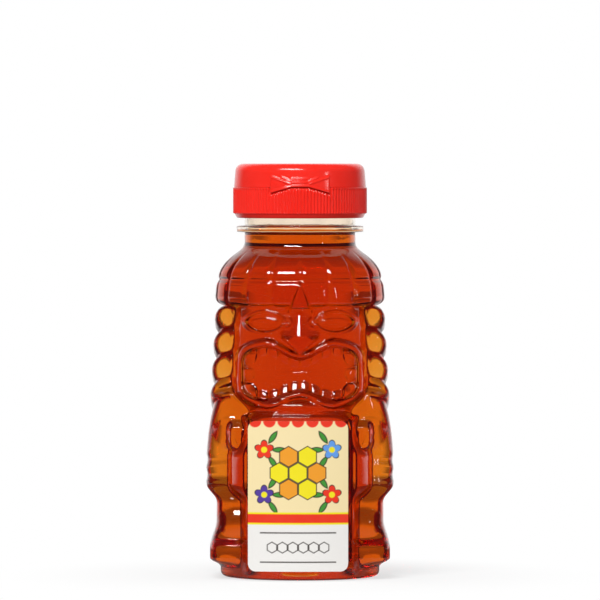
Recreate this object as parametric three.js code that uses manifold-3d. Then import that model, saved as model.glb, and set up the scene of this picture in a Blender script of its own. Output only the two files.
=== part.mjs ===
// Squeeze bottle of honey, blow-moulded in the form of a carved tiki figure, with a flip-top screw cap.
// Millimetres, +Z up. The origin is the centre of the standing ring and the figure faces -Y.

import * as THREE from 'three';
import { mergeVertices } from 'three/addons/utils/BufferGeometryUtils.js';
import Module from 'manifold-3d';

const { clamp, degToRad, lerp, radToDeg, smoothstep } = THREE.MathUtils;
const wasm = await Module();
wasm.setup();

// Clearances
const FIT_GAP = 0.3;
const FILM_GAP = 0.1;
const PLUG_CLEARANCE = 0.35;
const THREAD_SPACE = 2.0;

// Standing ring and base
const STAND_RING_RADIUS = 22.6;
const STAND_RING_WIDTH = 4.5;
const BASE_BEAD_RADIUS = 24.6;
const BASE_BEAD_HEIGHT = 2.1;
const BASE_FLARE_START = 2.9;
const BASE_FLARE_END = 6.2;
const PUSH_UP = 1.2;

// Walls
const BODY_WALL = 0.8;
const FLOOR_WALL = 0.7;
const NECK_WALL = 1.0;
const INNER_REACH_ANGLE = 8;
const INNER_REACH_HEIGHT = 4;
const INNER_REACH_STEPS = 2;

// Label and the flat panel that carries it
const LABEL_WIDTH = 30.8;
const LABEL_HEIGHT = 46.2;
const LABEL_THICKNESS = 0.15;
const LABEL_CORNER = 2.4;
const LABEL_OFFSET = -0.6;
const LABEL_MARGIN = 0.7;
const LABEL_SIDE_MARGIN = 1.7;
const PANEL_RECESS = 1.0;
const PANEL_CURVE_RADIUS = 60;
const PANEL_EDGE = 0.7;

// Torso, a rounded square that swells into the belly
const CHEST_HALF_WIDTH = 16.8;
const BELLY_HALF_WIDTH = 22.4;
const BELLY_BELOW_CHIN = 4.0;
const BELLY_TOP_SLOPE = 9.0;
const BELLY_FOOT = 21.0;
const BELLY_FOOT_SLOPE = 8.0;
const TORSO_HALF_DEPTH = 25.2;
const TORSO_SQUARENESS = 3.6;
const NECKLINE_BLEND = 1.6;
const BACK_WIDTH_SHARE = 0.85;
const BACK_SQUARENESS = 2.2;

// Head, a face block that narrows to the jaw
const HEAD_HEIGHT = 33.0;
const HEAD_FRONT_DEPTH = 22.4;
const HEAD_BACK_DEPTH = 24.8;
const HEAD_SQUARENESS = 3.0;
const FACE_TOP_HALF_WIDTH = 20.3;
const FACE_BOTTOM_HALF_WIDTH = 22.0;
const JAW_HEIGHT = 7.0;
const FACE_CREASE_DEPTH = 0.6;
const FACE_CREASE_WIDTH = 1.7;
const FACE_CREASE_INSET = 1.2;

// Side forms: flatter than the middle and reaching further out
const SIDE_SQUARENESS = 3.3;
const SIDE_BLEND = 0.9;

// Hair locks down each side of the face
const LOCK_COUNT = 4;
const LOCK_PITCH = 7.87;
const LOCK_FIRST_DROP = 5.7;
const LOCK_VALLEY_TOP = 23.4;
const LOCK_VALLEY_BOTTOM = 26.5;
const LOCK_RELIEF_TOP = 2.6;
const LOCK_RELIEF_BOTTOM = 1.4;
const LOCK_HALF_DEPTH = 10.0;
const LOCK_SWEEP = 0.16;

// Arms and hands
const ARM_LENGTH = 24.7;
const ARM_HALF_WIDTH = 29.0;
const ARM_HALF_DEPTH = 13.5;
const SHOULDER_HALF_WIDTH = 26.7;
const SHOULDER_HALF_DEPTH = 19.0;
const SHOULDER_DROP = 12.0;
const SHOULDER_HEIGHT = 4.0;
const SHOULDER_CURVE = 2.6;
const ELBOW_RISE = 4.6;
const ELBOW_ROUNDING = 2.5;
const ELBOW_CREASE_DEPTH = 0.7;
const ELBOW_CREASE_RISE = 7.3;
const ELBOW_CREASE_WIDTH = 1.8;
const HAND_RELIEF = 1.5;
const HAND_X = 19.5;
const HAND_BELOW_CHIN = 7.0;
const HAND_HALF_WIDTH = 2.6;
const HAND_HALF_HEIGHT = 4.2;
const HAND_SQUARENESS = 4;
const HAND_EDGE_START = 0.4;
const HAND_EDGE_END = 1.3;

// Legs and feet
const LEG_HALF_WIDTH = 25.8;
const LEG_HALF_DEPTH = 15.0;
const KNEE_RELIEF = 1.3;
const KNEE_X = 20.0;
const KNEE_Z = 20.0;
const KNEE_RADIUS = 4.5;
const FOOT_HALF_WIDTH = 27.8;
const FOOT_HALF_DEPTH = 18.0;
const FOOT_TOP = 9.0;
const ANKLE_HEIGHT = 18.0;

// Eyes
const EYE_X = 10.7;
const EYE_DROP = 4.9;
const EYE_SOCKET_HALF_WIDTH = 6.4;
const EYE_SOCKET_HALF_HEIGHT = 3.5;
const EYE_SOCKET_DEPTH = 0.9;
const EYE_HALF_WIDTH = 5.4;
const EYE_HALF_HEIGHT = 2.0;
const EYE_RELIEF = 1.5;
const EYE_SOCKET_EDGE = 0.7;

// Nose: a wedge on the turban, a tent below the brow and an underside that ends in a point
const NOSE_APEX_RISE = 7.4;
const NOSE_WEDGE_HALF_WIDTH = 3.3;
const NOSE_WEDGE_FLAT = 0.55;
const NOSE_BRIDGE_HALF_WIDTH = 3.6;
const NOSE_WING_DROP = 9.0;
const NOSE_WING_HALF_WIDTH = 7.0;
const NOSE_SPREAD_CURVE = 1.5;
const NOSE_TIP_DROP = 14.4;
const NOSE_APEX_SETBACK = 0.35;
const NOSE_BROW_RELIEF = 0.65;
const NOSE_BRIDGE_SETBACK = 0.15;
const NOSE_BULB_RELIEF = 0.65;
const NOSE_TIP_SETBACK = 1.95;
const NOSE_BROW_STEP = 0.7;

// Mouth, as a bow tie of rolled lips round a sunken floor
const MOUTH_DROP = 20.9;
const MOUTH_LOBE_RISE = 0.4;
const MOUTH_HALF_WIDTH = 20.5;
const MOUTH_WAIST_HALF_HEIGHT = 7.1;
const MOUTH_LOBE_HALF_HEIGHT = 11.3;
const MOUTH_LOBE_X = 11.0;
const MOUTH_SQUARENESS = 3.4;
const LIP_WIDTH = 4.4;
const LIP_RELIEF = 2.7;
const MOUTH_FLOOR_DEPTH = 1.0;

// Chin roll above the label panel
const CHIN_RELIEF = 1.9;
const CHIN_HALF_HEIGHT = 2.3;
const CHIN_HALF_WIDTH = 14.5;
const CHIN_DROOP = 1.2;
const CHIN_GAP = 1.3;

// Turban of two tiers of carved blocks
const TURBAN_RADIUS = 26.35;
const TURBAN_FOOT_ROUNDING = 2.4;
const TURBAN_FOOT_CURVE = 4;
const TURBAN_LEAN = 0.7;
const LOWER_TIER_HEIGHT = 7.9;
const UPPER_TIER_HEIGHT = 9.9;
const UPPER_TIER_SETBACK = 0.95;
const UPPER_TIER_CURVE = 2.1;
const TIER_GROOVE_DEPTH = 0.8;
const TIER_GROOVE_BEVEL = 1.6;
const BLOCK_COUNT = 18;
const BLOCK_GROOVE_DEPTH = 0.6;
const BLOCK_BEVEL = 2.0;
const BROW_STEP = 1.0;

// Neck finish
const NECK_RADIUS = 17.2;
const NECK_BELOW_RING = 4.9;
const RING_RADIUS = 19.65;
const RING_THICKNESS = 2.0;
const FINISH_HEIGHT = 9.4;
const FILL_BELOW_RING = 0.2;

// Screw cap
const CAP_RING_GAP = 2.4;
const CAP_WALL = 1.2;
const CAP_RIB_DEPTH = 0.35;
const CAP_RIB_ROOT = 0.02;
const CAP_RIB_COUNT = 90;
const CAP_BEAD_HEIGHT = 1.5;
const CAP_BEAD_TAPER = 0.7;
const CAP_TOP_BAND = 0.4;
const LINER_THICKNESS = 0.9;
const LINER_WIDTH = 4.6;
const DECK_THICKNESS = 1.0;
const SNAP_RING_RADIUS = 17.6;
const SNAP_RING_WIDTH = 1.0;
const SNAP_RING_HEIGHT = 0.9;
const SPOUT_RADIUS = 5.2;
const SPOUT_TIP_RADIUS = 4.4;
const SPOUT_HEIGHT = 3.2;
const SPOUT_BORE_RADIUS = 3.2;

// Flip lid
const LID_HEIGHT = 7.0;
const LID_SETBACK = 0.3;
const LID_DRAFT = 0.55;
const LID_EDGE_RADIUS = 1.7;
const LID_WALL = 1.2;
const PLUG_ENGAGEMENT = 1.5;
const PLUG_CHAMFER = 0.4;

// Thumb lift, a bow tie on the lid's front that hangs into a pocket in the cap
const LIFT_HALF_WIDTH = 9.6;
const LIFT_RELIEF = 0.7;
const LIFT_BAR_HALF_WIDTH = 2.8;
const LIFT_RISE_END = 3.1;
const LIFT_RISE_BAR = 1.6;
const LIFT_HANG_END = 2.1;
const LIFT_HANG_BAR = 0.2;
const POCKET_MARGIN = 1.0;
const POCKET_DEPTH = 0.8;

// Living hinge at the back
const HINGE_HALF_WIDTH = 6.0;
const HINGE_BOSS_HEIGHT = 2.6;
const HINGE_BOSS_STAND_OFF = 0.45;
const HINGE_STRAP_THICKNESS = 0.4;
const HINGE_STRAP_REACH = 1.3;

// Facets
const BLOCK_COLUMNS = [7, 6, 5, 4, 4, 2, 2, 2, 2];
const TORSO_ROWS = 13;
const FACE_ROWS = 20;
const LOWER_TIER_ROWS = 4;
const UPPER_TIER_ROWS = 5;
const INNER_TORSO_ROWS = 8;
const INNER_HEAD_ROWS = 6;
const INNER_TURBAN_ROWS = 5;
const ROUND_SEGMENTS = 48;
const LABEL_COLUMNS = 16;
const BOW_TIE_COLUMNS = 12;
const WELD_DISTANCE = 1e-4;
const LID_EDGE_STEPS = 3;

// Heights and radii that follow from the sizes above
const panelBottom = BASE_BEAD_HEIGHT;
const panelTop = panelBottom + LABEL_HEIGHT + 2 * LABEL_MARGIN;
const panelHalfWidth = LABEL_WIDTH / 2 + LABEL_SIDE_MARGIN;
const panelFront = TORSO_HALF_DEPTH - PANEL_RECESS;
const torsoTop = panelTop + CHIN_GAP;
const headTop = torsoTop + HEAD_HEIGHT;
const tierGroove = headTop + LOWER_TIER_HEIGHT;
const shoulder = tierGroove + UPPER_TIER_HEIGHT;
const ringBottom = shoulder + NECK_BELOW_RING;
const ringTop = ringBottom + RING_THICKNESS;
const rim = ringTop + FINISH_HEIGHT;
const fillLevel = ringBottom - FILL_BELOW_RING;
const neckBore = NECK_RADIUS - NECK_WALL;
const armBottom = torsoTop - ARM_LENGTH;
const elbow = armBottom + ELBOW_RISE;
const bellyTop = torsoTop - BELLY_BELOW_CHIN;
const standInside = STAND_RING_RADIUS - STAND_RING_WIDTH;
const blockPitch = (2 * Math.PI) / BLOCK_COUNT;
const upperTierRadius = TURBAN_RADIUS - UPPER_TIER_SETBACK;
const noseApexDepth = TURBAN_RADIUS - NOSE_APEX_SETBACK;
const noseBrowDepth = TURBAN_RADIUS + NOSE_BROW_RELIEF;
const noseBridgeDepth = TURBAN_RADIUS - NOSE_BRIDGE_SETBACK;
const noseBulbDepth = TURBAN_RADIUS + NOSE_BULB_RELIEF;
const noseTipDepth = TURBAN_RADIUS - NOSE_TIP_SETBACK;

const capBore = NECK_RADIUS + THREAD_SPACE;
const capRootRadius = capBore + CAP_WALL;
const capRadius = capRootRadius + CAP_RIB_DEPTH;
const capBottom = ringTop + CAP_RING_GAP;
const linerBottom = rim + FIT_GAP;
const deckBottom = linerBottom + LINER_THICKNESS + FIT_GAP;
const deckTop = deckBottom + DECK_THICKNESS;
const capTop = deckTop;
const lidBottom = capTop + FIT_GAP;
const lidTop = lidBottom + LID_HEIGHT;
const lidRadius = capRadius - LID_SETBACK;
const lidTopRadius = lidRadius - LID_DRAFT;
const lidCeiling = lidTop - LID_WALL;
const spoutTop = deckTop + SPOUT_HEIGHT;
const hingeFace = capRadius + HINGE_BOSS_STAND_OFF;
const pocketRadius = capRadius - POCKET_DEPTH;

// Materials
const plastic = (color, roughness) => new THREE.MeshStandardMaterial({ color, roughness, metalness: 0 });
const petMaterial = plastic(0xf6d9a0, 0.08);
petMaterial.transparent = true;
petMaterial.opacity = 0.4;
const honeyMaterial = plastic(0xc8510a, 0.1);
const redMaterial = plastic(0xe51b14, 0.35);
const linerMaterial = plastic(0xf2efe6, 0.7);
const labelMaterial = plastic(0xf7e3a4, 0.5);

const part = new THREE.Group();

function addMesh(name, geometry, material) {
  const mesh = new THREE.Mesh(geometry, material);
  mesh.name = name;
  part.add(mesh);
}

// Shape helpers

const dome = (t) => Math.sqrt(Math.max(0, 1 - t * t));
const roll = (t) => Math.max(0, 1 - t * t);
const smoothMax = (a, b, blend) => (a + b + Math.hypot(a - b, blend)) / 2;
const ease = (t) => (1 + Math.cos(Math.PI * clamp(t, 0, 1))) / 2;

function within(x, from, to, edge) {
  const entered = smoothstep(x, from - edge, from + edge);
  const left = smoothstep(x, to - edge, to + edge);
  return entered * (1 - left);
}

function superellipse(sine, cosine, halfWidth, halfDepth, power) {
  const sum = (sine / halfWidth) ** power + (cosine / halfDepth) ** power;
  return sum ** (-1 / power);
}

// The figure's middle: the face block over the torso

const headDrop = (z) => clamp((headTop - z) / HEAD_HEIGHT, 0, 1);

function faceHalfWidth(z) {
  const upper = lerp(FACE_TOP_HALF_WIDTH, FACE_BOTTOM_HALF_WIDTH, headDrop(z));
  return lerp(CHEST_HALF_WIDTH, upper, smoothstep(z, torsoTop, torsoTop + JAW_HEIGHT));
}

function torsoHalfWidth(z) {
  const above = smoothstep(z, bellyTop - BELLY_TOP_SLOPE, bellyTop);
  const belly = smoothstep(z, BELLY_FOOT, BELLY_FOOT + BELLY_FOOT_SLOPE) * (1 - above);
  return lerp(CHEST_HALF_WIDTH, BELLY_HALF_WIDTH, belly);
}

function middleRadius(angle, z) {
  const sine = Math.abs(Math.sin(angle));
  const cosine = Math.abs(Math.cos(angle));
  const inFront = Math.cos(angle) > 0;
  const narrowing = inFront ? 1 : BACK_WIDTH_SHARE;
  const headDepth = inFront ? HEAD_FRONT_DEPTH : HEAD_BACK_DEPTH;
  const headPower = inFront ? HEAD_SQUARENESS : BACK_SQUARENESS;
  const torsoPower = inFront ? TORSO_SQUARENESS : BACK_SQUARENESS;
  const head = superellipse(sine, cosine, narrowing * faceHalfWidth(z), headDepth, headPower);
  const torso = superellipse(sine, cosine, narrowing * torsoHalfWidth(z), TORSO_HALF_DEPTH, torsoPower);
  return lerp(torso, head, smoothstep(z, torsoTop - NECKLINE_BLEND, torsoTop + NECKLINE_BLEND));
}

// The side forms: locks, arms, legs and feet

function lockHalfWidth(z) {
  const valley = lerp(LOCK_VALLEY_TOP, LOCK_VALLEY_BOTTOM, headDrop(z));
  const number = (headTop - LOCK_FIRST_DROP - z) / LOCK_PITCH;
  const nearest = Math.round(number);
  if (nearest < 0 || nearest >= LOCK_COUNT) {
    return valley;
  }
  return valley + lerp(LOCK_RELIEF_TOP, LOCK_RELIEF_BOTTOM, headDrop(z)) * roll(2 * (number - nearest));
}

const armShare = (z) => smoothstep(z, armBottom - ELBOW_ROUNDING, armBottom + ELBOW_ROUNDING);
const legShare = (z) => smoothstep(z, FOOT_TOP, ANKLE_HEIGHT);

function limbHalfWidth(z) {
  const up = clamp((z - elbow) / (torsoTop - elbow), 0, 1);
  const crease = ELBOW_CREASE_DEPTH * roll((z - armBottom - ELBOW_CREASE_RISE) / ELBOW_CREASE_WIDTH);
  const arm = lerp(ARM_HALF_WIDTH, SHOULDER_HALF_WIDTH, up ** SHOULDER_CURVE) - crease;
  return lerp(lerp(FOOT_HALF_WIDTH, LEG_HALF_WIDTH, legShare(z)), arm, armShare(z));
}

function sideRadius(angle, z) {
  const fromSide = Math.abs(90 - radToDeg(Math.abs(angle)));
  const swept = z - LOCK_SWEEP * fromSide * smoothstep(z, armBottom, torsoTop);
  const width = swept > torsoTop ? lockHalfWidth(swept) : limbHalfWidth(swept);
  const overShoulder = smoothstep(swept, torsoTop, torsoTop + SHOULDER_HEIGHT);
  const onShoulder = smoothstep(swept, torsoTop - SHOULDER_DROP, torsoTop - SHOULDER_DROP / 2);
  const armDepth = lerp(ARM_HALF_DEPTH, SHOULDER_HALF_DEPTH, onShoulder);
  const upper = lerp(armDepth, LOCK_HALF_DEPTH, overShoulder);
  const lower = lerp(FOOT_HALF_DEPTH, LEG_HALF_DEPTH, legShare(z));
  const depth = lerp(lower, upper, armShare(z));
  return superellipse(Math.abs(Math.sin(angle)), Math.abs(Math.cos(angle)), width, depth, SIDE_SQUARENESS);
}

// The turban, and the whole body round its axis

function turbanRadius(z) {
  if (z < tierGroove) {
    const rise = Math.max(0, (z - headTop) / LOWER_TIER_HEIGHT);
    const foot = clamp(1 - 2 * rise, 0, 1);
    return TURBAN_RADIUS - TURBAN_FOOT_ROUNDING * foot ** TURBAN_FOOT_CURVE - TURBAN_LEAN * rise ** 2;
  }
  const rise = (z - tierGroove) / UPPER_TIER_HEIGHT;
  return lerp(upperTierRadius, NECK_RADIUS, rise ** UPPER_TIER_CURVE);
}

function blockGroove(angle, z) {
  if (z < headTop || z > shoulder) {
    return 0;
  }
  const beside = Math.abs(angle - Math.round(angle / blockPitch) * blockPitch) * TURBAN_RADIUS;
  const fade = 1 - smoothstep(z, tierGroove + UPPER_TIER_HEIGHT / 3, shoulder);
  const onNose = Math.abs(angle) < blockPitch / 2 && z < tierGroove;
  const upright = onNose ? 0 : BLOCK_GROOVE_DEPTH * fade * Math.max(0, 1 - beside / BLOCK_BEVEL);
  const level = TIER_GROOVE_DEPTH * Math.max(0, 1 - Math.abs(z - tierGroove) / TIER_GROOVE_BEVEL);
  return Math.max(upright, level);
}

function coreRadius(angle, z) {
  if (z >= shoulder) {
    return NECK_RADIUS;
  }
  const figure = smoothMax(middleRadius(angle, z), sideRadius(angle, z), SIDE_BLEND);
  const body = lerp(BASE_BEAD_RADIUS, figure, smoothstep(z, BASE_FLARE_START, BASE_FLARE_END));
  const onTurban = smoothstep(z, headTop - BROW_STEP, headTop + BROW_STEP / 2);
  return lerp(body, turbanRadius(z), onTurban) - blockGroove(angle, z);
}

// Reliefs that stand out to the front, as offsets along -Y

function eyeRelief(x, z) {
  const dx = Math.abs(x) - EYE_X;
  const dz = z - (headTop - EYE_DROP);
  const socket = Math.hypot(dx / EYE_SOCKET_HALF_WIDTH, dz / EYE_SOCKET_HALF_HEIGHT);
  const ball = Math.hypot(dx / EYE_HALF_WIDTH, dz / EYE_HALF_HEIGHT);
  return EYE_RELIEF * roll(ball) - EYE_SOCKET_DEPTH * (1 - smoothstep(socket, EYE_SOCKET_EDGE, 1));
}

function noseFront(x, z, depth) {
  const apex = headTop + NOSE_APEX_RISE;
  const wing = headTop - NOSE_WING_DROP;
  const tip = headTop - NOSE_TIP_DROP;
  if (z <= tip || z >= apex) {
    return depth;
  }
  const across = Math.abs(x);
  const fall = Math.min(1, (apex - z) / NOSE_APEX_RISE);
  const wedge = clamp((1 - across / (NOSE_WEDGE_HALF_WIDTH * fall)) / (1 - NOSE_WEDGE_FLAT), 0, 1);
  const wedgeDepth = lerp(depth, lerp(noseApexDepth, noseBrowDepth, fall), wedge);
  const spread = clamp((headTop - z) / NOSE_WING_DROP, 0, 1);
  const halfWidth = lerp(NOSE_BRIDGE_HALF_WIDTH, NOSE_WING_HALF_WIDTH, spread ** NOSE_SPREAD_CURVE);
  const rise = clamp((z - tip) / (wing - tip), 0, 1);
  const ridge = lerp(noseTipDepth, lerp(noseBridgeDepth, noseBulbDepth, spread), rise);
  const tentDepth = lerp(depth, ridge, ease(across / (halfWidth * rise)));
  const front = lerp(tentDepth, wedgeDepth, smoothstep(z, headTop - NOSE_BROW_STEP, headTop));
  return Math.max(depth, front);
}

function mouthDistance(x, z) {
  const lobe = smoothstep(Math.abs(x), 0, MOUTH_LOBE_X);
  const middle = headTop - MOUTH_DROP + MOUTH_LOBE_RISE * lobe;
  const halfHeight = lerp(MOUTH_WAIST_HALF_HEIGHT, MOUTH_LOBE_HALF_HEIGHT, lobe);
  const across = Math.abs(x) / MOUTH_HALF_WIDTH;
  const up = Math.abs(z - middle) / halfHeight;
  const sum = across ** MOUTH_SQUARENESS + up ** MOUTH_SQUARENESS;
  const level = Math.max(Number.EPSILON, sum ** (1 / MOUTH_SQUARENESS));
  const slopeX = (across / level) ** (MOUTH_SQUARENESS - 1) / MOUTH_HALF_WIDTH;
  const slopeZ = (up / level) ** (MOUTH_SQUARENESS - 1) / halfHeight;
  return (level - 1) / Math.hypot(slopeX, slopeZ);
}

function mouthRelief(x, z) {
  const outside = mouthDistance(x, z);
  const lip = LIP_RELIEF * roll((outside + LIP_WIDTH / 2) / (LIP_WIDTH / 2));
  const floor = MOUTH_FLOOR_DEPTH * (1 - smoothstep(outside, -LIP_WIDTH, -LIP_WIDTH / 2));
  return lip - floor;
}

function chinRelief(x, z) {
  const middle = torsoTop + CHIN_HALF_HEIGHT - CHIN_DROOP * (x / CHIN_HALF_WIDTH) ** 2;
  return CHIN_RELIEF * roll((z - middle) / CHIN_HALF_HEIGHT) * roll(x / CHIN_HALF_WIDTH);
}

function handRelief(x, z) {
  const dx = (Math.abs(x) - HAND_X) / HAND_HALF_WIDTH;
  const dz = (z - (torsoTop - HAND_BELOW_CHIN)) / HAND_HALF_HEIGHT;
  const distance = Math.abs(dx) ** HAND_SQUARENESS + Math.abs(dz) ** HAND_SQUARENESS;
  return HAND_RELIEF * (1 - smoothstep(distance, HAND_EDGE_START, HAND_EDGE_END));
}

function kneeRelief(x, z) {
  return KNEE_RELIEF * roll(Math.hypot(Math.abs(x) - KNEE_X, z - KNEE_Z) / KNEE_RADIUS);
}

function creaseRelief(x, z) {
  const offset = (Math.abs(x) - faceHalfWidth(z) + FACE_CREASE_INSET) / FACE_CREASE_WIDTH;
  return FACE_CREASE_DEPTH * (1 - smoothstep(Math.abs(offset), 0, 1));
}

const panelDepth = (x) => panelFront - (x * x) / (2 * PANEL_CURVE_RADIUS);

function frontDepth(x, z, depth) {
  let front = depth;
  if (z > torsoTop && z < headTop) {
    front += mouthRelief(x, z) + eyeRelief(x, z) + chinRelief(x, z) - creaseRelief(x, z);
  }
  if (z < torsoTop) {
    front += handRelief(x, z) + kneeRelief(x, z);
  }
  front = noseFront(x, z, front);
  const onPanel = within(x, -panelHalfWidth, panelHalfWidth, PANEL_EDGE)
    * within(z, panelBottom, panelTop, PANEL_EDGE);
  return lerp(front, panelDepth(x), onPanel);
}

// A point of the figure's outer skin
function skinPoint(angle, z) {
  const radius = coreRadius(angle, z);
  const x = radius * Math.sin(angle);
  const depth = radius * Math.cos(angle);
  const front = depth > 0 && z < shoulder ? frontDepth(x, z, depth) : depth;
  return new THREE.Vector3(x, -front, z);
}

// A point of the inner wall, behind the deepest groove or recess of the skin within its reach
function innerPoint(angle, z, gap) {
  const here = skinPoint(angle, z);
  let least = Infinity;
  const turnStep = degToRad(INNER_REACH_ANGLE) / INNER_REACH_STEPS;
  const riseStep = INNER_REACH_HEIGHT / INNER_REACH_STEPS;
  for (let turn = -INNER_REACH_STEPS; turn <= INNER_REACH_STEPS; turn += 1) {
    for (let rise = -INNER_REACH_STEPS; rise <= INNER_REACH_STEPS; rise += 1) {
      const near = skinPoint(angle + turn * turnStep, z + rise * riseStep);
      least = Math.min(least, Math.hypot(near.x, near.y));
    }
  }
  const scale = (least - BODY_WALL - gap) / Math.hypot(here.x, here.y);
  return new THREE.Vector3(here.x * scale, here.y * scale, z);
}

// Rings of points joined into one closed skin; a ring may have half as many points as its neighbour

function ringAt(angles, radius, z) {
  return angles.map((angle) => new THREE.Vector3(radius * Math.sin(angle), -radius * Math.cos(angle), z));
}

// Rings run from bottom to top; a shell's inner rings meet its outer ones at the top
function closedSkin(outerRings, innerRings = []) {
  const positions = [];
  const indices = [];
  const addRing = (ring) => ring.map((point) => positions.push(point.x, point.y, point.z) / 3 - 1);
  const outer = outerRings.map(addRing);
  const inner = innerRings.map(addRing);
  for (let row = 0; row + 1 < outer.length; row += 1) {
    indices.push(...ringFaces(outer[row], outer[row + 1]));
  }
  for (let row = 0; row + 1 < inner.length; row += 1) {
    indices.push(...ringFaces(inner[row], inner[row + 1]).reverse());
  }
  if (inner.length > 0) {
    indices.push(...ringFaces(outer.at(-1), inner.at(-1)));
  }
  const geometry = new THREE.BufferGeometry();
  geometry.setAttribute('position', new THREE.Float32BufferAttribute(positions, 3));
  geometry.setIndex(indices);
  geometry.computeVertexNormals();
  return geometry;
}

// Triangles between two rings, seen from outside
function ringFaces(lower, upper) {
  const faces = [];
  const steps = Math.max(lower.length, upper.length);
  const pick = (ring, step) => ring[Math.floor((step * ring.length) / steps) % ring.length];
  for (let step = 0; step < steps; step += 1) {
    const a = pick(lower, step);
    const b = pick(lower, step + 1);
    const c = pick(upper, step + 1);
    const d = pick(upper, step);
    if (a !== b) {
      faces.push(a, b, d);
    }
    if (c !== d) {
      faces.push(b, c, d);
    }
  }
  return faces;
}

// Columns round the figure, finer at the front and on the side forms
function figureAngles() {
  const angles = [];
  for (let block = -BLOCK_COUNT / 2; block < BLOCK_COUNT / 2; block += 1) {
    const columns = BLOCK_COLUMNS[block < 0 ? -block - 1 : block];
    for (let column = 0; column < columns; column += 1) {
      angles.push((block + column / columns) * blockPitch);
    }
  }
  return angles;
}

function evenHeights(from, to, rows) {
  return Array.from({ length: rows }, (_, row) => lerp(from, to, row / rows));
}

function bodyHeights() {
  return [
    panelBottom - PANEL_EDGE,
    ...evenHeights(panelBottom + PANEL_EDGE, panelTop - PANEL_EDGE, TORSO_ROWS),
    panelTop - PANEL_EDGE,
    ...evenHeights(torsoTop, headTop, FACE_ROWS),
    ...evenHeights(headTop + BROW_STEP / 2, tierGroove - TIER_GROOVE_BEVEL, LOWER_TIER_ROWS),
    tierGroove - TIER_GROOVE_BEVEL,
    tierGroove,
    ...evenHeights(tierGroove + TIER_GROOVE_BEVEL, shoulder, UPPER_TIER_ROWS),
  ];
}

function innerHeights() {
  return [
    ...evenHeights(panelBottom, torsoTop, INNER_TORSO_ROWS),
    ...evenHeights(torsoTop, headTop, INNER_HEAD_ROWS),
    ...evenHeights(headTop, shoulder, INNER_TURBAN_ROWS),
  ];
}

const outerAngles = figureAngles();
const innerAngles = outerAngles.filter((_, column) => column % 2 === 0);

function innerRings(gap) {
  const floor = FLOOR_WALL + gap;
  const rings = [
    [new THREE.Vector3(0, 0, PUSH_UP + floor)],
    ringAt(innerAngles, standInside - PUSH_UP, PUSH_UP + floor),
    ringAt(innerAngles, standInside, floor),
    ringAt(innerAngles, STAND_RING_RADIUS - FLOOR_WALL - gap, floor),
  ];
  for (const z of innerHeights()) {
    rings.push(innerAngles.map((angle) => innerPoint(angle, z, gap)));
  }
  rings.push(ringAt(innerAngles, neckBore - gap, shoulder));
  return rings;
}

function bottleGeometry() {
  const beadMiddle = BASE_BEAD_HEIGHT / 2;
  const rings = [
    [new THREE.Vector3(0, 0, PUSH_UP)],
    ringAt(outerAngles, standInside - PUSH_UP, PUSH_UP),
    ringAt(outerAngles, standInside, 0),
    ringAt(outerAngles, STAND_RING_RADIUS, 0),
    ringAt(outerAngles, BASE_BEAD_RADIUS, beadMiddle),
  ];
  for (const z of bodyHeights()) {
    rings.push(outerAngles.map((angle) => skinPoint(angle, z)));
  }
  const neck = [
    [NECK_RADIUS, shoulder],
    [NECK_RADIUS, ringBottom],
    [RING_RADIUS, ringBottom + RING_THICKNESS / 4],
    [RING_RADIUS, ringTop],
    [NECK_RADIUS, ringTop],
    [NECK_RADIUS, rim],
    [neckBore, rim],
  ];
  rings.push(...neck.map(([radius, z]) => ringAt(innerAngles, radius, z)));
  return closedSkin(rings, innerRings(0));
}

function honeyGeometry() {
  const rings = innerRings(FIT_GAP);
  rings.push(ringAt(innerAngles, neckBore - FIT_GAP, fillLevel));
  rings.push([new THREE.Vector3(0, 0, fillLevel)]);
  return closedSkin(rings);
}

// A bent strip: sections of four corners, from inner low round to inner high, joined end to end
function stripGeometry(sections) {
  const rings = sections.map((section) => section.slice().reverse());
  const sumOf = (ring) => ring.reduce((sum, point) => sum.add(point), new THREE.Vector3());
  const centreOf = (ring) => sumOf(ring).divideScalar(ring.length);
  return closedSkin([[centreOf(rings[0])], ...rings, [centreOf(rings.at(-1))]]);
}

function labelGeometry() {
  const sections = [];
  const bottom = panelBottom + LABEL_MARGIN;
  for (let column = 0; column <= LABEL_COLUMNS; column += 1) {
    const across = -Math.cos((Math.PI * column) / LABEL_COLUMNS) * (LABEL_WIDTH / 2);
    const fromEnd = LABEL_WIDTH / 2 - Math.abs(across);
    const inCorner = Math.min(1, fromEnd / LABEL_CORNER);
    const inset = LABEL_CORNER * (1 - dome(1 - inCorner));
    const x = across + LABEL_OFFSET;
    const inner = -panelDepth(x) - FILM_GAP;
    const outer = inner - LABEL_THICKNESS;
    const low = bottom + inset;
    const high = bottom + LABEL_HEIGHT - inset;
    sections.push([
      new THREE.Vector3(x, inner, low),
      new THREE.Vector3(x, outer, low),
      new THREE.Vector3(x, outer, high),
      new THREE.Vector3(x, inner, high),
    ]);
  }
  return stripGeometry(sections);
}

// Joining and cutting

function toSolid(geometry) {
  const bare = geometry.clone();
  bare.deleteAttribute('normal');
  bare.deleteAttribute('uv');
  const merged = mergeVertices(bare, WELD_DISTANCE);
  return new wasm.Manifold(new wasm.Mesh({
    numProp: 3,
    vertProperties: new Float32Array(merged.attributes.position.array),
    triVerts: new Uint32Array(merged.index.array),
  }));
}

function toGeometry(solid) {
  const mesh = solid.getMesh();
  const geometry = new THREE.BufferGeometry();
  geometry.setAttribute('position', new THREE.BufferAttribute(mesh.vertProperties, 3));
  geometry.setIndex(new THREE.BufferAttribute(mesh.triVerts, 1));
  geometry.computeVertexNormals();
  return geometry;
}

function revolve(outline) {
  const points = outline.map(([radius, z]) => new THREE.Vector2(radius, z));
  return new THREE.LatheGeometry(points, ROUND_SEGMENTS).rotateX(Math.PI / 2);
}

function closedRevolve(outline) {
  return revolve([...outline, outline[0]]);
}

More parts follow.
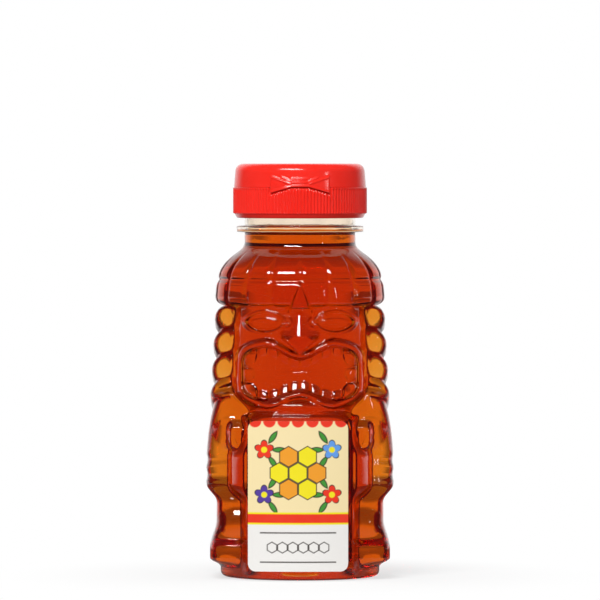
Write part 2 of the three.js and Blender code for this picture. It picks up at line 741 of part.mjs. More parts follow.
// A profile in Y and Z drawn out along X to both sides
function acrossGeometry(outline, halfWidth) {
  const shape = new THREE.Shape(outline.map(([y, z]) => new THREE.Vector2(y, z)));
  const geometry = new THREE.ExtrudeGeometry(shape, { depth: 2 * halfWidth, bevelEnabled: false });
  geometry.translate(0, 0, -halfWidth);
  const toRow = new THREE.Matrix4().set(0, 0, 1, 0, 1, 0, 0, 0, 0, 1, 0, 0, 0, 0, 0, 1);
  return geometry.applyMatrix4(toRow);
}

// A bow tie wrapped round the cap's front, between two radii; low and high follow its spread
function bowTie(inside, outside, halfWidth, lowAt, highAt) {
  const sections = [];
  for (let column = 0; column <= BOW_TIE_COLUMNS; column += 1) {
    const x = ((2 * column) / BOW_TIE_COLUMNS - 1) * halfWidth;
    const spread = smoothstep(Math.abs(x), LIFT_BAR_HALF_WIDTH, LIFT_HALF_WIDTH);
    const angle = x / capRadius;
    const at = (radius, z) => new THREE.Vector3(radius * Math.sin(angle), -radius * Math.cos(angle), z);
    const low = lowAt(spread);
    const high = highAt(spread);
    sections.push([at(inside, low), at(outside, low), at(outside, high), at(inside, high)]);
  }
  return stripGeometry(sections);
}

const liftLow = (spread) => lidBottom - lerp(LIFT_HANG_BAR, LIFT_HANG_END, spread);
const liftHigh = (spread) => lidBottom + lerp(LIFT_RISE_BAR, LIFT_RISE_END, spread);

function ribBandGeometry() {
  const shape = new THREE.Shape();
  for (let i = 0; i < 2 * CAP_RIB_COUNT; i += 1) {
    const angle = (Math.PI * i) / CAP_RIB_COUNT;
    const radius = i % 2 === 0 ? capRadius : capRootRadius + CAP_RIB_ROOT;
    const point = new THREE.Vector2(radius * Math.cos(angle), radius * Math.sin(angle));
    if (i === 0) {
      shape.moveTo(point.x, point.y);
    } else {
      shape.lineTo(point.x, point.y);
    }
  }
  const hole = new THREE.Path();
  hole.absarc(0, 0, capRootRadius - CAP_WALL / 2, 0, 2 * Math.PI, true);
  shape.holes.push(hole);
  const bottom = capBottom + CAP_BEAD_HEIGHT;
  const top = capTop - CAP_TOP_BAND;
  const options = { depth: top - bottom, bevelEnabled: false, curveSegments: ROUND_SEGMENTS };
  return new THREE.ExtrudeGeometry(shape, options).translate(0, 0, bottom);
}

function capBaseGeometry() {
  const skirt = closedRevolve([
    [SPOUT_BORE_RADIUS, deckBottom],
    [capBore, deckBottom],
    [capBore, capBottom],
    [capRadius - CAP_BEAD_TAPER, capBottom],
    [capRadius, capBottom + CAP_BEAD_TAPER],
    [capRadius, capBottom + CAP_BEAD_HEIGHT],
    [capRootRadius, capBottom + CAP_BEAD_HEIGHT],
    [capRootRadius, capTop],
    [SNAP_RING_RADIUS, deckTop],
    [SNAP_RING_RADIUS, deckTop + SNAP_RING_HEIGHT],
    [SNAP_RING_RADIUS - SNAP_RING_WIDTH, deckTop + SNAP_RING_HEIGHT],
    [SNAP_RING_RADIUS - SNAP_RING_WIDTH, deckTop],
    [SPOUT_RADIUS, deckTop],
    [SPOUT_TIP_RADIUS, spoutTop],
    [SPOUT_BORE_RADIUS, spoutTop],
  ]);
  const bossInside = capBore + CAP_WALL / 3;
  const boss = acrossGeometry([
    [bossInside, capTop - HINGE_BOSS_HEIGHT - HINGE_BOSS_STAND_OFF],
    [capRootRadius, capTop - HINGE_BOSS_HEIGHT - HINGE_BOSS_STAND_OFF],
    [hingeFace, capTop - HINGE_BOSS_HEIGHT],
    [hingeFace, capTop],
    [bossInside, capTop],
  ], HINGE_HALF_WIDTH);
  const pocket = bowTie(
    pocketRadius,
    capRadius + POCKET_DEPTH,
    LIFT_HALF_WIDTH + POCKET_MARGIN,
    (spread) => liftLow(spread) - POCKET_MARGIN,
    () => lidBottom,
  );
  const body = toSolid(skirt).add(toSolid(ribBandGeometry())).add(toSolid(boss));
  return toGeometry(body.subtract(toSolid(pocket)));
}

function lidGeometry() {
  const innerRadiusLow = lidRadius - LID_WALL;
  const innerRadiusHigh = lidTopRadius - LID_WALL;
  const edge = Array.from({ length: LID_EDGE_STEPS + 1 }, (_, i) => {
    const turn = (Math.PI / 2) * (i / LID_EDGE_STEPS);
    const radius = lidTopRadius - LID_EDGE_RADIUS * (1 - Math.cos(turn));
    return [radius, lidTop - LID_EDGE_RADIUS * (1 - Math.sin(turn))];
  });
  const plugRadius = SPOUT_BORE_RADIUS - PLUG_CLEARANCE;
  const plugTip = spoutTop - PLUG_ENGAGEMENT;
  const shell = revolve([
    [0, plugTip],
    [plugRadius - PLUG_CHAMFER, plugTip],
    [plugRadius, plugTip + PLUG_CHAMFER],
    [plugRadius, lidCeiling],
    [innerRadiusHigh, lidCeiling],
    [innerRadiusLow, lidBottom],
    [lidRadius, lidBottom],
    ...edge,
    [0, lidTop],
  ]);
  const bossInside = lidRadius - LID_WALL / 2;
  const boss = acrossGeometry([
    [bossInside, lidBottom],
    [hingeFace, lidBottom],
    [hingeFace, lidBottom + HINGE_BOSS_HEIGHT],
    [bossInside, lidBottom + HINGE_BOSS_HEIGHT + HINGE_BOSS_STAND_OFF],
  ], HINGE_HALF_WIDTH);
  const liftFace = lidRadius + LIFT_RELIEF;
  const root = bowTie(lidTopRadius - LID_WALL / 2, liftFace, LIFT_HALF_WIDTH, () => lidBottom, liftHigh);
  const hang = bowTie(pocketRadius + FIT_GAP, liftFace, LIFT_HALF_WIDTH, liftLow, liftHigh);
  const lift = toSolid(root).add(toSolid(hang));
  return toGeometry(toSolid(shell).add(toSolid(boss)).add(lift));
}

function linerGeometry() {
  const outside = capBore - FIT_GAP;
  return closedRevolve([
    [outside - LINER_WIDTH, linerBottom],
    [outside, linerBottom],
    [outside, linerBottom + LINER_THICKNESS],
    [outside - LINER_WIDTH, linerBottom + LINER_THICKNESS],
  ]);
}

function hingeGeometry() {
  const inside = hingeFace + FIT_GAP;
  const middle = (capTop + lidBottom) / 2;
  return acrossGeometry([
    [inside, middle - HINGE_STRAP_REACH],
    [inside + HINGE_STRAP_THICKNESS, middle - HINGE_STRAP_REACH],
    [inside + HINGE_STRAP_THICKNESS, middle + HINGE_STRAP_REACH],
    [inside, middle + HINGE_STRAP_REACH],
  ], HINGE_HALF_WIDTH);
}

addMesh('bottle', bottleGeometry(), petMaterial);
addMesh('honey', honeyGeometry(), honeyMaterial);
addMesh('label', labelGeometry(), labelMaterial);
addMesh('liner', linerGeometry(), linerMaterial);
addMesh('cap_base', capBaseGeometry(), redMaterial);
addMesh('flip_lid', lidGeometry(), redMaterial);
addMesh('living_hinge', hingeGeometry(), redMaterial);

export default part;
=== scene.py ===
"""A squeeze bottle of honey in the form of a tiki figure, with a red flip-top cap, on a white floor."""

import math

import bpy
import numpy as np
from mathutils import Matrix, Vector


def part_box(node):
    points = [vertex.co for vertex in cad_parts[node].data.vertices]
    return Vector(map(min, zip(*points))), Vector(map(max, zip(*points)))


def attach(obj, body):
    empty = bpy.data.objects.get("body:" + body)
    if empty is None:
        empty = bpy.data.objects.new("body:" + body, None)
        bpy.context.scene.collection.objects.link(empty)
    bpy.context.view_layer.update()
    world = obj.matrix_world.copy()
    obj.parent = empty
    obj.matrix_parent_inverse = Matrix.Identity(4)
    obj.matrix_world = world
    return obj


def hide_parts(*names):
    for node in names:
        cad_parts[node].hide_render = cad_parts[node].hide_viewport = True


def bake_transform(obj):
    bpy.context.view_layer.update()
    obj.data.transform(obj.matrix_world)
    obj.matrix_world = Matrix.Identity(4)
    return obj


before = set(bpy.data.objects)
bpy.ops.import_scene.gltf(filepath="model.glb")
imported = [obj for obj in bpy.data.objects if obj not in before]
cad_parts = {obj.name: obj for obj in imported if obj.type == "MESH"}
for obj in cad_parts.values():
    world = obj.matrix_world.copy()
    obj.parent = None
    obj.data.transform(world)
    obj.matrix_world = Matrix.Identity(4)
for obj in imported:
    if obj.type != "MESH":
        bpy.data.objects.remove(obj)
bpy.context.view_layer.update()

MM = 0.001
scene = bpy.context.scene


def box_mm(node):
    low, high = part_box(node)
    return np.array(low) / MM, np.array(high) / MM


# Places taken from the frame, in millimetres
_, bottle_high = box_mm("bottle")
_, honey_high = box_mm("honey")
label_low, label_high = box_mm("label")
liner_low, liner_high = box_mm("liner")
cap_low, cap_high = box_mm("cap_base")
_, lid_high = box_mm("flip_lid")
strap_low, strap_high = box_mm("living_hinge")

# Neck finish
NECK_RADIUS = 17.2
NECK_WALL = 1.0
NECK_BELOW_RING = 4.9
RING_RADIUS = 19.65
RING_THICKNESS = 2.0
RING_FULLNESS = 2.5
FINISH_HEIGHT = 9.4
NECK_FILLET = 0.6
NECK_FILLET_REACH = 1.8
RIM_ROUNDING = 0.35
THREAD_PITCH = 4.233
THREAD_TURNS = 1.1
THREAD_RELIEF = 1.35
THREAD_HALF_WIDTH = 0.95
THREAD_FIRST_RISE = 3.3
THREAD_LEAD_IN = 0.06
THREAD_FADE = 0.05
FINISH_START = 0.3
BORE_STEP = 1.0
BORE_FOOT_DROP = 2.0

# Turban of two tiers of carved blocks; the brow's step is given at the back and in front
UPPER_TIER_HEIGHT = 9.9
LOWER_TIER_HEIGHT = 7.9
TURBAN_RADIUS = 26.35
TURBAN_FOOT_ROUNDING = 2.4
TURBAN_FOOT_CURVE = 4
TURBAN_LEAN = 0.7
UPPER_TIER_RADIUS = 25.4
UPPER_TIER_CURVE = 2.1
TIER_GROOVE_DEPTH = 0.55
TIER_GROOVE_BEVEL = 1.8
BLOCK_COUNT = 18
BLOCK_GROOVE_DEPTH = 0.75
BLOCK_BEVEL = 2.0
BACK_CARVING_SHARE = 0.15
BROW_STEP = (6.0, 1.0)
CARVING_END = (-0.85, -0.45)

# Head: the face block, with its width at the top and at the bottom
HEAD_HEIGHT = 33.0
HEAD_FRONT_DEPTH = 22.4
HEAD_BACK_DEPTH = 24.8
HEAD_SQUARENESS = 3.0
BACK_WIDTH_SHARE = 0.96
BACK_SQUARENESS = 2.9
FACE_HALF_WIDTH = (20.3, 22.0)
JAW_HEIGHT = 7.0
FACE_CREASE_DEPTH = 0.6
FACE_CREASE_WIDTH = 1.3
FACE_CREASE_INSET = 1.2
FACE_EDGE = 0.4

# Hair locks down the sides of the head: valleys and relief from top to bottom, squareness of arm and lock
LOCK_COUNT = 4
LOCK_PITCH = 7.87
LOCK_FIRST_DROP = 5.7
LOCK_VALLEY = (23.4, 26.5)
LOCK_RELIEF = (2.6, 1.4)
LOCK_HALF_DEPTH = 9.5
LOCK_FRONT_RELIEF = 1.3
LOCK_SWEEP = 0.16
SIDE_SQUARENESS = (4.6, 6.5)
LEG_SQUARENESS = 7.0
SIDE_BLEND = 0.9
FRONT_BLEND = (-0.1, 0.1)

# Eyes
EYE_X = 10.8
EYE_DROP = 4.7
EYE_HALF_WIDTH = 6.2
EYE_HALF_HEIGHT = 3.3
EYE_POINT = 1.7
EYE_DEPTH = 0.9
EYE_SOCKET_EDGE = (0.84, 0.99)
EYE_FLOOR_LEAN = 0.3
EYELID_RELIEF = 0.7
EYELID_WIDTH = 0.15
EYEBALL_HALF_WIDTH = 5.4
EYEBALL_HALF_HEIGHT = 1.9
EYEBALL_DROP = 0.5
EYEBALL_RELIEF = 0.5
EYEBALL_EDGE = 0.76

# Nose, with the wedge's depth at its apex and at the brow
NOSE_APEX_RISE = 7.4
NOSE_WEDGE_HALF_WIDTH = 3.3
NOSE_WEDGE_FLAT = 0.76
NOSE_BRIDGE_HALF_WIDTH = 3.3
NOSE_WING_DROP = 9.0
NOSE_WING_HALF_WIDTH = 7.0
NOSE_TIP_DROP = 14.4
NOSE_WEDGE_DEPTH = (26.7, 28.2)
NOSE_BRIDGE_DEPTH = 24.1
NOSE_BULB_DEPTH = 27.5
NOSE_TIP_DEPTH = 25.6
NOSE_FULLNESS = 0.65
NOSE_EDGE = 0.78
NOSE_BROW_STEP = 0.7
NOSE_WING_CURVE = 1.5
NOSE_UNDER_CURVE = 6
CURL_X = 4.0
CURL_DROP = 5.0
CURL_RADIUS = 1.35
CURL_WIDTH = 0.6
CURL_RELIEF = 0.7

# Mouth, with pairs for its waist and its lobes
MOUTH_DROP = 20.9
MOUTH_LOBE_RISE = 0.4
MOUTH_HALF_WIDTH = 20.5
MOUTH_HALF_HEIGHT = (7.1, 11.3)
MOUTH_LOBE_X = 11.0
MOUTH_SQUARENESS = 3.4
LIP_WIDTH = (2.5, 3.1)
LIP_RELIEF = 2.2
LIP_FULLNESS = 0.75
TOOTH_WIDTH = (3.0, 3.8)
TOOTH_RELIEF = 1.4
TOOTH_LEAN = 0.85
TOOTH_CROWN = 0.25
TOOTH_TIP = 0.92
TOOTH_TIP_ROUNDING = 0.22
TOOTH_EDGE = 0.08
TOOTH_GAP_START = 0.75
TOOTH_PITCH = 3.25
SIDE_TOOTH_PITCH = 4.6
SIDE_TOOTH_X = 13.4
MOUTH_FLOOR_DEPTH = 1.7
MOUTH_FLOOR_EDGE = (-0.3, 0.5)
TONGUE_LINES = 3
TONGUE_LINE_PITCH = 1.2
TONGUE_HALF_WIDTH = 8.5
TONGUE_RELIEF = 0.14
TONGUE_START = 0.9

# Chin
CHIN_GAP = 1.3
CHIN_RELIEF = 1.9
CHIN_HALF_HEIGHT = 2.3
CHIN_HALF_WIDTH = 14.5
CHIN_DROOP = 1.2

# Torso and the panel under the label
CHEST_HALF_WIDTH = 16.8
BELLY_HALF_WIDTH = 22.4
BACK_HALF_WIDTH = 16.2
BELLY_TOP = (38.0, 47.0)
BELLY_BOTTOM = (21.0, 29.0)
TORSO_HALF_DEPTH = 25.2
TORSO_SQUARENESS = 3.7
NECKLINE_BLEND = 1.6
PANEL_RECESS = 1.0
PANEL_CURVE_RADIUS = 60
PANEL_EDGE = 1.0
PANEL_HALF_WIDTH = 17.1
LABEL_MARGIN = 0.7
LABEL_CORNER = 2.4
LABEL_THICKNESS = 0.15
LABEL_GAP = 0.1
LABEL_CELL = 0.16

# Label print, in millimetres from the middle of the label's foot
LABEL_CREAM = (0.97, 0.8, 0.44)
LABEL_WHITE = (0.9, 0.88, 0.85)
INK_RED = (0.9, 0.035, 0.01)
INK_YELLOW = (0.95, 0.82, 0.01)
INK_ORANGE = (0.93, 0.36, 0.02)
INK_GREEN = (0.06, 0.33, 0.04)
INK_BLUE = (0.13, 0.36, 0.85)
INK_VIOLET = (0.1, 0.05, 0.36)
INK_DARK = (0.03, 0.02, 0.015)
INK_EDGE = 0.12
INK_OUTLINE = 0.3
SCALLOP_PITCH = 4.4
SCALLOP_RADIUS = 1.95
COMB_HEIGHT = 30.3
COMB_CELL = 2.9
COMB_INKS = (INK_ORANGE, INK_YELLOW) * 3
BLOSSOM_PETALS = 5
BLOSSOM_WAIST = 0.58
BLOSSOM_HEART = 0.3
BLOSSOMS = (
    (-10.4, 37.4, 3.1, INK_RED),
    (10.4, 37.4, 3.1, INK_BLUE),
    (-10.4, 23.6, 3.1, INK_VIOLET),
    (10.4, 23.6, 3.1, INK_RED),
)
LEAF_LENGTH = 2.5
LEAF_WIDTH = 0.9
LEAF_OFFSET = 4.7
LEAF_TURNS = (35, 90, 145)
BAND = (14.4, 18.2)
BAND_EDGE = 0.55
RULES = (11.9, 2.9)
RULE_LENGTH = 11.5
RULE_WIDTH = 0.2
CELL_ROW_HEIGHT = 7.4
CELL_ROW_CELL = 1.6
CELL_ROW_COUNT = 6

# Arms, hands, legs and feet, with pairs for elbow and shoulder, and for leg and foot
ARM_LENGTH = 24.7
ARM_HALF_WIDTH = (29.0, 26.7)
ARM_HALF_DEPTH = (13.5, 16.0)
SHOULDER_SWELL = (34.0, 47.0)
SHOULDER_RISE = 2.0
SHOULDER_CURVE = 2.6
ELBOW_Z = 31.0
ELBOW_ROUNDING = 2.5
ELBOW_CREASE_DEPTH = 0.3
ELBOW_CREASE_RISES = (5.2, 9.4)
ELBOW_CREASE_WIDTH = 1.7
ELBOW_FOLD = 1.0
HAND_DEPTH = 19.6
HAND_X = 19.5
HAND_BELOW_CHIN = 7.0
HAND_HALF_WIDTH = 2.6
HAND_HALF_HEIGHT = 4.2
HAND_SQUARENESS = 4
HAND_EDGE = (0.2, 1.5)
FINGER_PITCH = 1.5
FINGER_GROOVE = 0.35
FINGER_GROOVE_SHARE = 0.3
LEG_HALF_DEPTH = (16.5, 19.2)
LEG_HALF_WIDTH = (25.8, 27.8)
FOOT_SLOPE = (9.0, 18.0)
FOOT_TOP = (10.4, 12.6)

# Bumps on the limbs: place across and up, half width, half height and relief
KNEE_BUMP = (19.0, 17.0, 7.0, 4.5, 1.5)
SHOULDER_BUMP = (21.3, 45.0, 5.5, 5.5, 1.7)

# Base
STAND_RING_RADIUS = 22.6
STAND_RING_WIDTH = 4.5
BASE_BEAD_RADIUS = 24.6
BASE_FLARE = (2.9, 6.2)
BASE_CORNER_HEIGHT = 1.7
PUSH_UP = 0.6
PUSH_UP_SLOPE = 0.14

# Walls and honey
BODY_WALL = 0.8
BASE_WALL = 0.7
BASE_INSIDE_TOP = 2.0
BASE_INSIDE_CORNER = ((0.99, 0.6), (0.96, 0.15), (0.92, 0))
SHOULDER_CLEARANCE = 0.5
HONEY_GAP = 0.04
FILL_ABOVE_CAD = 1.0
LEVEL_TOLERANCE = 0.01
MENISCUS_RISE = 0.5
MENISCUS_WIDTH = 2.2
WALL_TINT = (0.99, 0.985, 0.97)
# Warm tint of the ring and thread: a painted reflection of the red cap in the clear neck
NECK_PAINTED_REFLECTION_TINT = (0.975, 0.885, 0.78)
PET_IOR = 1.57
PET_IOR_IN_HONEY = 1.02
HONEY_COLOUR = (0.948, 0.69, 0.1, 1)
HONEY_DENSITY = 250

# Screw cap and flip lid, with the lift's edges at its bar and at its ends
CAP_RIB_COUNT = 124
CAP_RIB_SAMPLES = 6
CAP_RIB_DEPTH = 0.5
CAP_RIB_FADE = 0.15
CAP_WALL = 1.05
CAP_BEAD_HEIGHT = 1.5
CAP_BEAD_TAPER = 0.7
CAP_BEAD_CURVE = 1.5
CAP_TOP_BAND = 0.4
CAP_EDGE = 0.25
CAP_BORE = 19.2
CAP_THREAD_RELIEF = 1.2
CAP_THREAD_TURNS = 0.75
DECK_BOTTOM = 119.6
DECK_TOP = 120.6
SNAP_RADIUS = 17.6
SNAP_WIDTH = 1.0
SNAP_HEIGHT = 0.9
SPOUT_RADIUS = 5.2
SPOUT_TIP_RADIUS = 4.4
SPOUT_BORE_RADIUS = 3.2
SPOUT_FOOT = 0.5
MOULD_EDGE = 0.2
MOULD_ROUNDING = 0.3
MOULD_FILLET = 0.4
LID_BOTTOM = 120.9
LID_SEAM = 0.06
LID_RADIUS = 20.45
LID_DRAFT = 0.55
LID_EDGE_RADIUS = 2.6
LID_WALL = 1.2
LID_SKIRT = 0.1
LID_TOP_RING = 10
PLUG_RADIUS = 2.85
PLUG_TIP = 122.3
LIFT_HALF_WIDTH = 9.6
LIFT_BAR_HALF_WIDTH = 2.8
LIFT_RISE = (1.6, 3.1)
LIFT_HANG = (0.2, 2.1)
LIFT_EDGE = 0.3
LIFT_STEP = 0.01
POCKET_MARGIN = 1.0
POCKET_DEPTH = 0.8
POCKET_FIT = 0.3
LIFT_PLATE = 0.25
LIFT_RIDGE_RELIEF = 0.24
LIFT_RIDGE_HALF_WIDTH = 0.6
LIFT_RIDGES = (
    ((2.9, 0.8), (9.3, 3.0)),
    ((2.8, 1.5), (5.7, 2.7)),
    ((2.9, 0.0), (9.3, -1.8)),
    ((0.0, 0.2), (2.7, 0.2)),
    ((0.0, 1.3), (2.7, 1.3)),
    ((0.0, 2.3), (2.5, 2.3)),
)
HINGE_HALF_WIDTH = 6.0
HINGE_BOSS_HEIGHT = 2.6
HINGE_BOSS_FADE = 0.6
STRAP_FOLD_DEPTH = 0.12
STRAP_FOLD_HALF_HEIGHT = 0.5
STRAP_INSIDE_SHARE = 0.2
LINER_WIDTH = 4.6
LINER_EDGE = 0.15

# Stage, in metres and watts; a fade has its dim end, its white end and the dim level
FLOOR_REACH = 4.0
FLOOR_DROP = 0.0002
FLOOR_FADE = (0.03, 0.1, 0.68)
FLOOR_THROUGH = (0.05, 0.45, 0.4)
REFLECTED_FLOOR = (0.1, 0.4, 0.06)
REFLECTED_BACKDROP = (0.45, 0.9, 0.06)
BACKDROP_RISE = (0.65, 0.3, 0.25)
BACKDROP_GAP = (0.38, 0.55, 0.72, 0.9)
GAP_LEVEL = 0.4
FILL_LIGHT = 0.4
LAMP_AIM = Vector((0, 0, 0.07))
CAMERA_PLACE = Vector((0, -2.0, 0.1325))
CAMERA_AIM = Vector((0, 0, 0.0856))
CAMERA_LENS = 387
CAMERA_SENSOR = 36
BOUNCES = 32

TINY = 1e-6
VARIED_PART = (0.35, 0.65)

# Heights that follow
rim = bottle_high[2]
ring_top = rim - FINISH_HEIGHT
ring_bottom = ring_top - RING_THICKNESS
shoulder = ring_bottom - NECK_BELOW_RING
tier_groove = shoulder - UPPER_TIER_HEIGHT
head_top = tier_groove - LOWER_TIER_HEIGHT
torso_top = head_top - HEAD_HEIGHT
panel_top = torso_top - CHIN_GAP
panel_bottom = label_low[2] - LABEL_MARGIN
panel_front = TORSO_HALF_DEPTH - PANEL_RECESS
arm_bottom = torso_top - ARM_LENGTH
fill_level = honey_high[2] + FILL_ABOVE_CAD
neck_bore = NECK_RADIUS - NECK_WALL
bore_foot = ring_bottom - BORE_FOOT_DROP
thread_start = ring_top + THREAD_FIRST_RISE
cap_bottom = cap_low[2]
spout_top = cap_high[2]
lid_top = lid_high[2]
cap_radius = CAP_BORE + CAP_WALL + CAP_RIB_DEPTH
hinge_face = lid_high[1]
stand_inside = STAND_RING_RADIUS - STAND_RING_WIDTH


# Shape helpers


def unit(x):
    return np.clip(x, 0, 1)


def ease(x, low, high):
    t = unit((x - low) / (high - low))
    return t * t * (3 - 2 * t)


def falloff(x, low, high):
    return 1 - ease(x, low, high)


def lerp(a, b, t):
    return a + (b - a) * t


def roll(t):
    return unit(1 - t * t)


def within(x, low, high, edge):
    return ease(x, low - edge, low + edge) * falloff(x, high - edge, high + edge)


def outline_level(across, up, power):
    """1 on a squarish outline, less inside; across and up are shares of its half sizes."""
    return (np.abs(across) ** power + np.abs(up) ** power) ** (1 / power)


def superellipse(angle, half_width, half_depth, power):
    return 1 / outline_level(np.sin(angle) / half_width, np.cos(angle) / half_depth, power)


def spaced(*stops):
    """Values from stop to stop; each stop is (value, steps to the next)."""
    values = []
    for (start, steps), (end, _) in zip(stops, stops[1:]):
        values.extend(np.linspace(start, end, steps, endpoint=False))
    values.append(stops[-1][0])
    return np.array(values)


# The figure's plain body


def smooth_max(a, b, blend):
    return 0.5 * (a + b + np.sqrt((a - b) ** 2 + blend ** 2))


def head_drop(z):
    return unit((head_top - z) / HEAD_HEIGHT)


def face_half_width(z):
    upper = lerp(*FACE_HALF_WIDTH, head_drop(z))
    return lerp(CHEST_HALF_WIDTH, upper, ease(z, torso_top, torso_top + JAW_HEIGHT))


def torso_half_width(z):
    belly = ease(z, *BELLY_BOTTOM) * falloff(z, *BELLY_TOP)
    return lerp(CHEST_HALF_WIDTH, BELLY_HALF_WIDTH, belly)


def middle_radius(angle, z):
    """Face block over the torso, without locks and limbs."""
    in_front = np.cos(angle) > 0
    narrowing = np.where(in_front, 1, BACK_WIDTH_SHARE)
    head_depth = np.where(in_front, HEAD_FRONT_DEPTH, HEAD_BACK_DEPTH)
    head_power = np.where(in_front, HEAD_SQUARENESS, BACK_SQUARENESS)
    torso_power = np.where(in_front, TORSO_SQUARENESS, BACK_SQUARENESS)
    head = superellipse(angle, narrowing * face_half_width(z), head_depth, head_power)
    torso_width = np.where(in_front, torso_half_width(z), BACK_HALF_WIDTH)
    torso = superellipse(angle, torso_width, TORSO_HALF_DEPTH, torso_power)
    return lerp(torso, head, ease(z, torso_top - NECKLINE_BLEND, torso_top + NECKLINE_BLEND))


def lock_bump(z):
    """How far a lock stands out at a height: 1 on its crest, 0 in the valleys."""
    number = (head_top - LOCK_FIRST_DROP - z) / LOCK_PITCH
    from_crest = 2 * (number - np.round(number))
    real = (number > -0.5) & (number < LOCK_COUNT - 0.5)
    return np.where(real, roll(from_crest), 0)


def lock_half_width(z):
    valley = lerp(*LOCK_VALLEY, head_drop(z))
    return valley + lerp(*LOCK_RELIEF, head_drop(z)) * lock_bump(z)


def elbow_crease(z):
    creases = [roll((z - arm_bottom - rise) / ELBOW_CREASE_WIDTH) for rise in ELBOW_CREASE_RISES]
    return ELBOW_CREASE_DEPTH * sum(creases)


def on_arm(z):
    """1 on the arms, 0 on the legs."""
    return ease(z, arm_bottom - ELBOW_ROUNDING, arm_bottom + ELBOW_ROUNDING)


def limb_half_width(z):
    arm_share = unit((z - ELBOW_Z) / (torso_top - ELBOW_Z))
    arm = lerp(*ARM_HALF_WIDTH, arm_share ** SHOULDER_CURVE) - elbow_crease(z)
    leg = lerp(*LEG_HALF_WIDTH, falloff(z, *FOOT_SLOPE))
    return lerp(leg, arm, on_arm(z))


def side_radius(angle, z):
    """Locks, arms, legs and feet, flatter than the middle and further out."""
    side = np.degrees(np.abs(angle))
    swept = z - LOCK_SWEEP * np.abs(90 - side) * ease(z, arm_bottom, torso_top)
    width = np.where(swept > torso_top, lock_half_width(swept), limb_half_width(swept))
    shoulder_share = ease(swept, torso_top, torso_top + 2 * SHOULDER_RISE)
    arm_depth = lerp(*ARM_HALF_DEPTH, ease(swept, *SHOULDER_SWELL))
    in_front = ease(np.cos(angle), *FRONT_BLEND)
    lock_depth = LOCK_HALF_DEPTH + LOCK_FRONT_RELIEF * lock_bump(swept) * in_front
    upper = lerp(arm_depth, lock_depth, shoulder_share) - ELBOW_FOLD * elbow_crease(swept) * in_front
    lower = lerp(*LEG_HALF_DEPTH, in_front * falloff(z, *FOOT_TOP))
    depth = lerp(lower, upper, on_arm(z))
    upper_power = lerp(*SIDE_SQUARENESS, shoulder_share)
    power = lerp(LEG_SQUARENESS, upper_power, on_arm(z))
    return superellipse(angle, width, depth, power)


def carving_front(angle):
    """1 in front and at the sides, 0 at the back."""
    return ease(np.cos(angle), *CARVING_END)


def carving_share(angle):
    return lerp(BACK_CARVING_SHARE, 1, carving_front(angle))


def turban_radius(angle, z):
    foot = unit((head_top + LOWER_TIER_HEIGHT / 2 - z) / (LOWER_TIER_HEIGHT / 2))
    lean = TURBAN_LEAN * unit((z - head_top) / LOWER_TIER_HEIGHT) ** 2
    rounding = TURBAN_FOOT_ROUNDING * carving_share(angle) * foot ** TURBAN_FOOT_CURVE
    lower = TURBAN_RADIUS - rounding - lean
    rise = unit((z - tier_groove) / UPPER_TIER_HEIGHT)
    upper = lerp(UPPER_TIER_RADIUS, NECK_RADIUS, rise ** UPPER_TIER_CURVE)
    return np.where(z < tier_groove, lower, upper)


def block_grooves(angle, z):
    """Bevelled grooves between the turban's blocks, not across the nose."""
    pitch = 2 * np.pi / BLOCK_COUNT
    beside = np.abs(angle - np.round(angle / pitch) * pitch) * TURBAN_RADIUS
    above = np.abs(z - tier_groove)
    fade = falloff(z, tier_groove + UPPER_TIER_HEIGHT / 3, shoulder)
    on_nose = (np.abs(angle) < pitch / 2) & (z < tier_groove)
    upright = np.where(on_nose, 0, BLOCK_GROOVE_DEPTH * fade * unit(1 - beside / BLOCK_BEVEL) ** 2)
    level = TIER_GROOVE_DEPTH * unit(1 - above / TIER_GROOVE_BEVEL) ** 2
    on_turban = (z > head_top) & (z < shoulder)
    return np.where(on_turban, carving_share(angle) * np.maximum(upright, level), 0)


def neck_fillet(z):
    """Rounds the corner between the turban and the neck."""
    return NECK_FILLET * unit(1 - np.abs(z - shoulder) / NECK_FILLET_REACH) ** 2


def core_radius(angle, z):
    figure = smooth_max(middle_radius(angle, z), side_radius(angle, z), SIDE_BLEND)
    body = lerp(BASE_BEAD_RADIUS, figure, ease(z, *BASE_FLARE))
    step = lerp(*BROW_STEP, carving_front(angle))
    radius = lerp(body, turban_radius(angle, z), ease(z, head_top - step, head_top + step / 2))
    return np.where(z >= shoulder, NECK_RADIUS, radius) + neck_fillet(z) - block_grooves(angle, z)


# Reliefs on the figure's front, as offsets along -Y


def eye_relief(x, z):
    dx = np.abs(x) - EYE_X
    dz = z - (head_top - EYE_DROP)
    level = outline_level(dx / EYE_HALF_WIDTH, dz / EYE_HALF_HEIGHT, EYE_POINT)
    socket = EYE_DEPTH * falloff(level, *EYE_SOCKET_EDGE)
    socket = socket * (1 - EYE_FLOOR_LEAN * dz / EYE_HALF_HEIGHT)
    lid = EYELID_RELIEF * roll((level - 1) / EYELID_WIDTH)
    ball = np.hypot(dx / EYEBALL_HALF_WIDTH, (dz + EYEBALL_DROP) / EYEBALL_HALF_HEIGHT)
    return lid - socket + EYEBALL_RELIEF * falloff(ball, EYEBALL_EDGE, 1)


def nose_tent(across):
    """Section of the nose from its ridge at 0 to its foot at 1."""
    return (0.5 + 0.5 * np.cos(np.pi * unit(across))) ** NOSE_FULLNESS


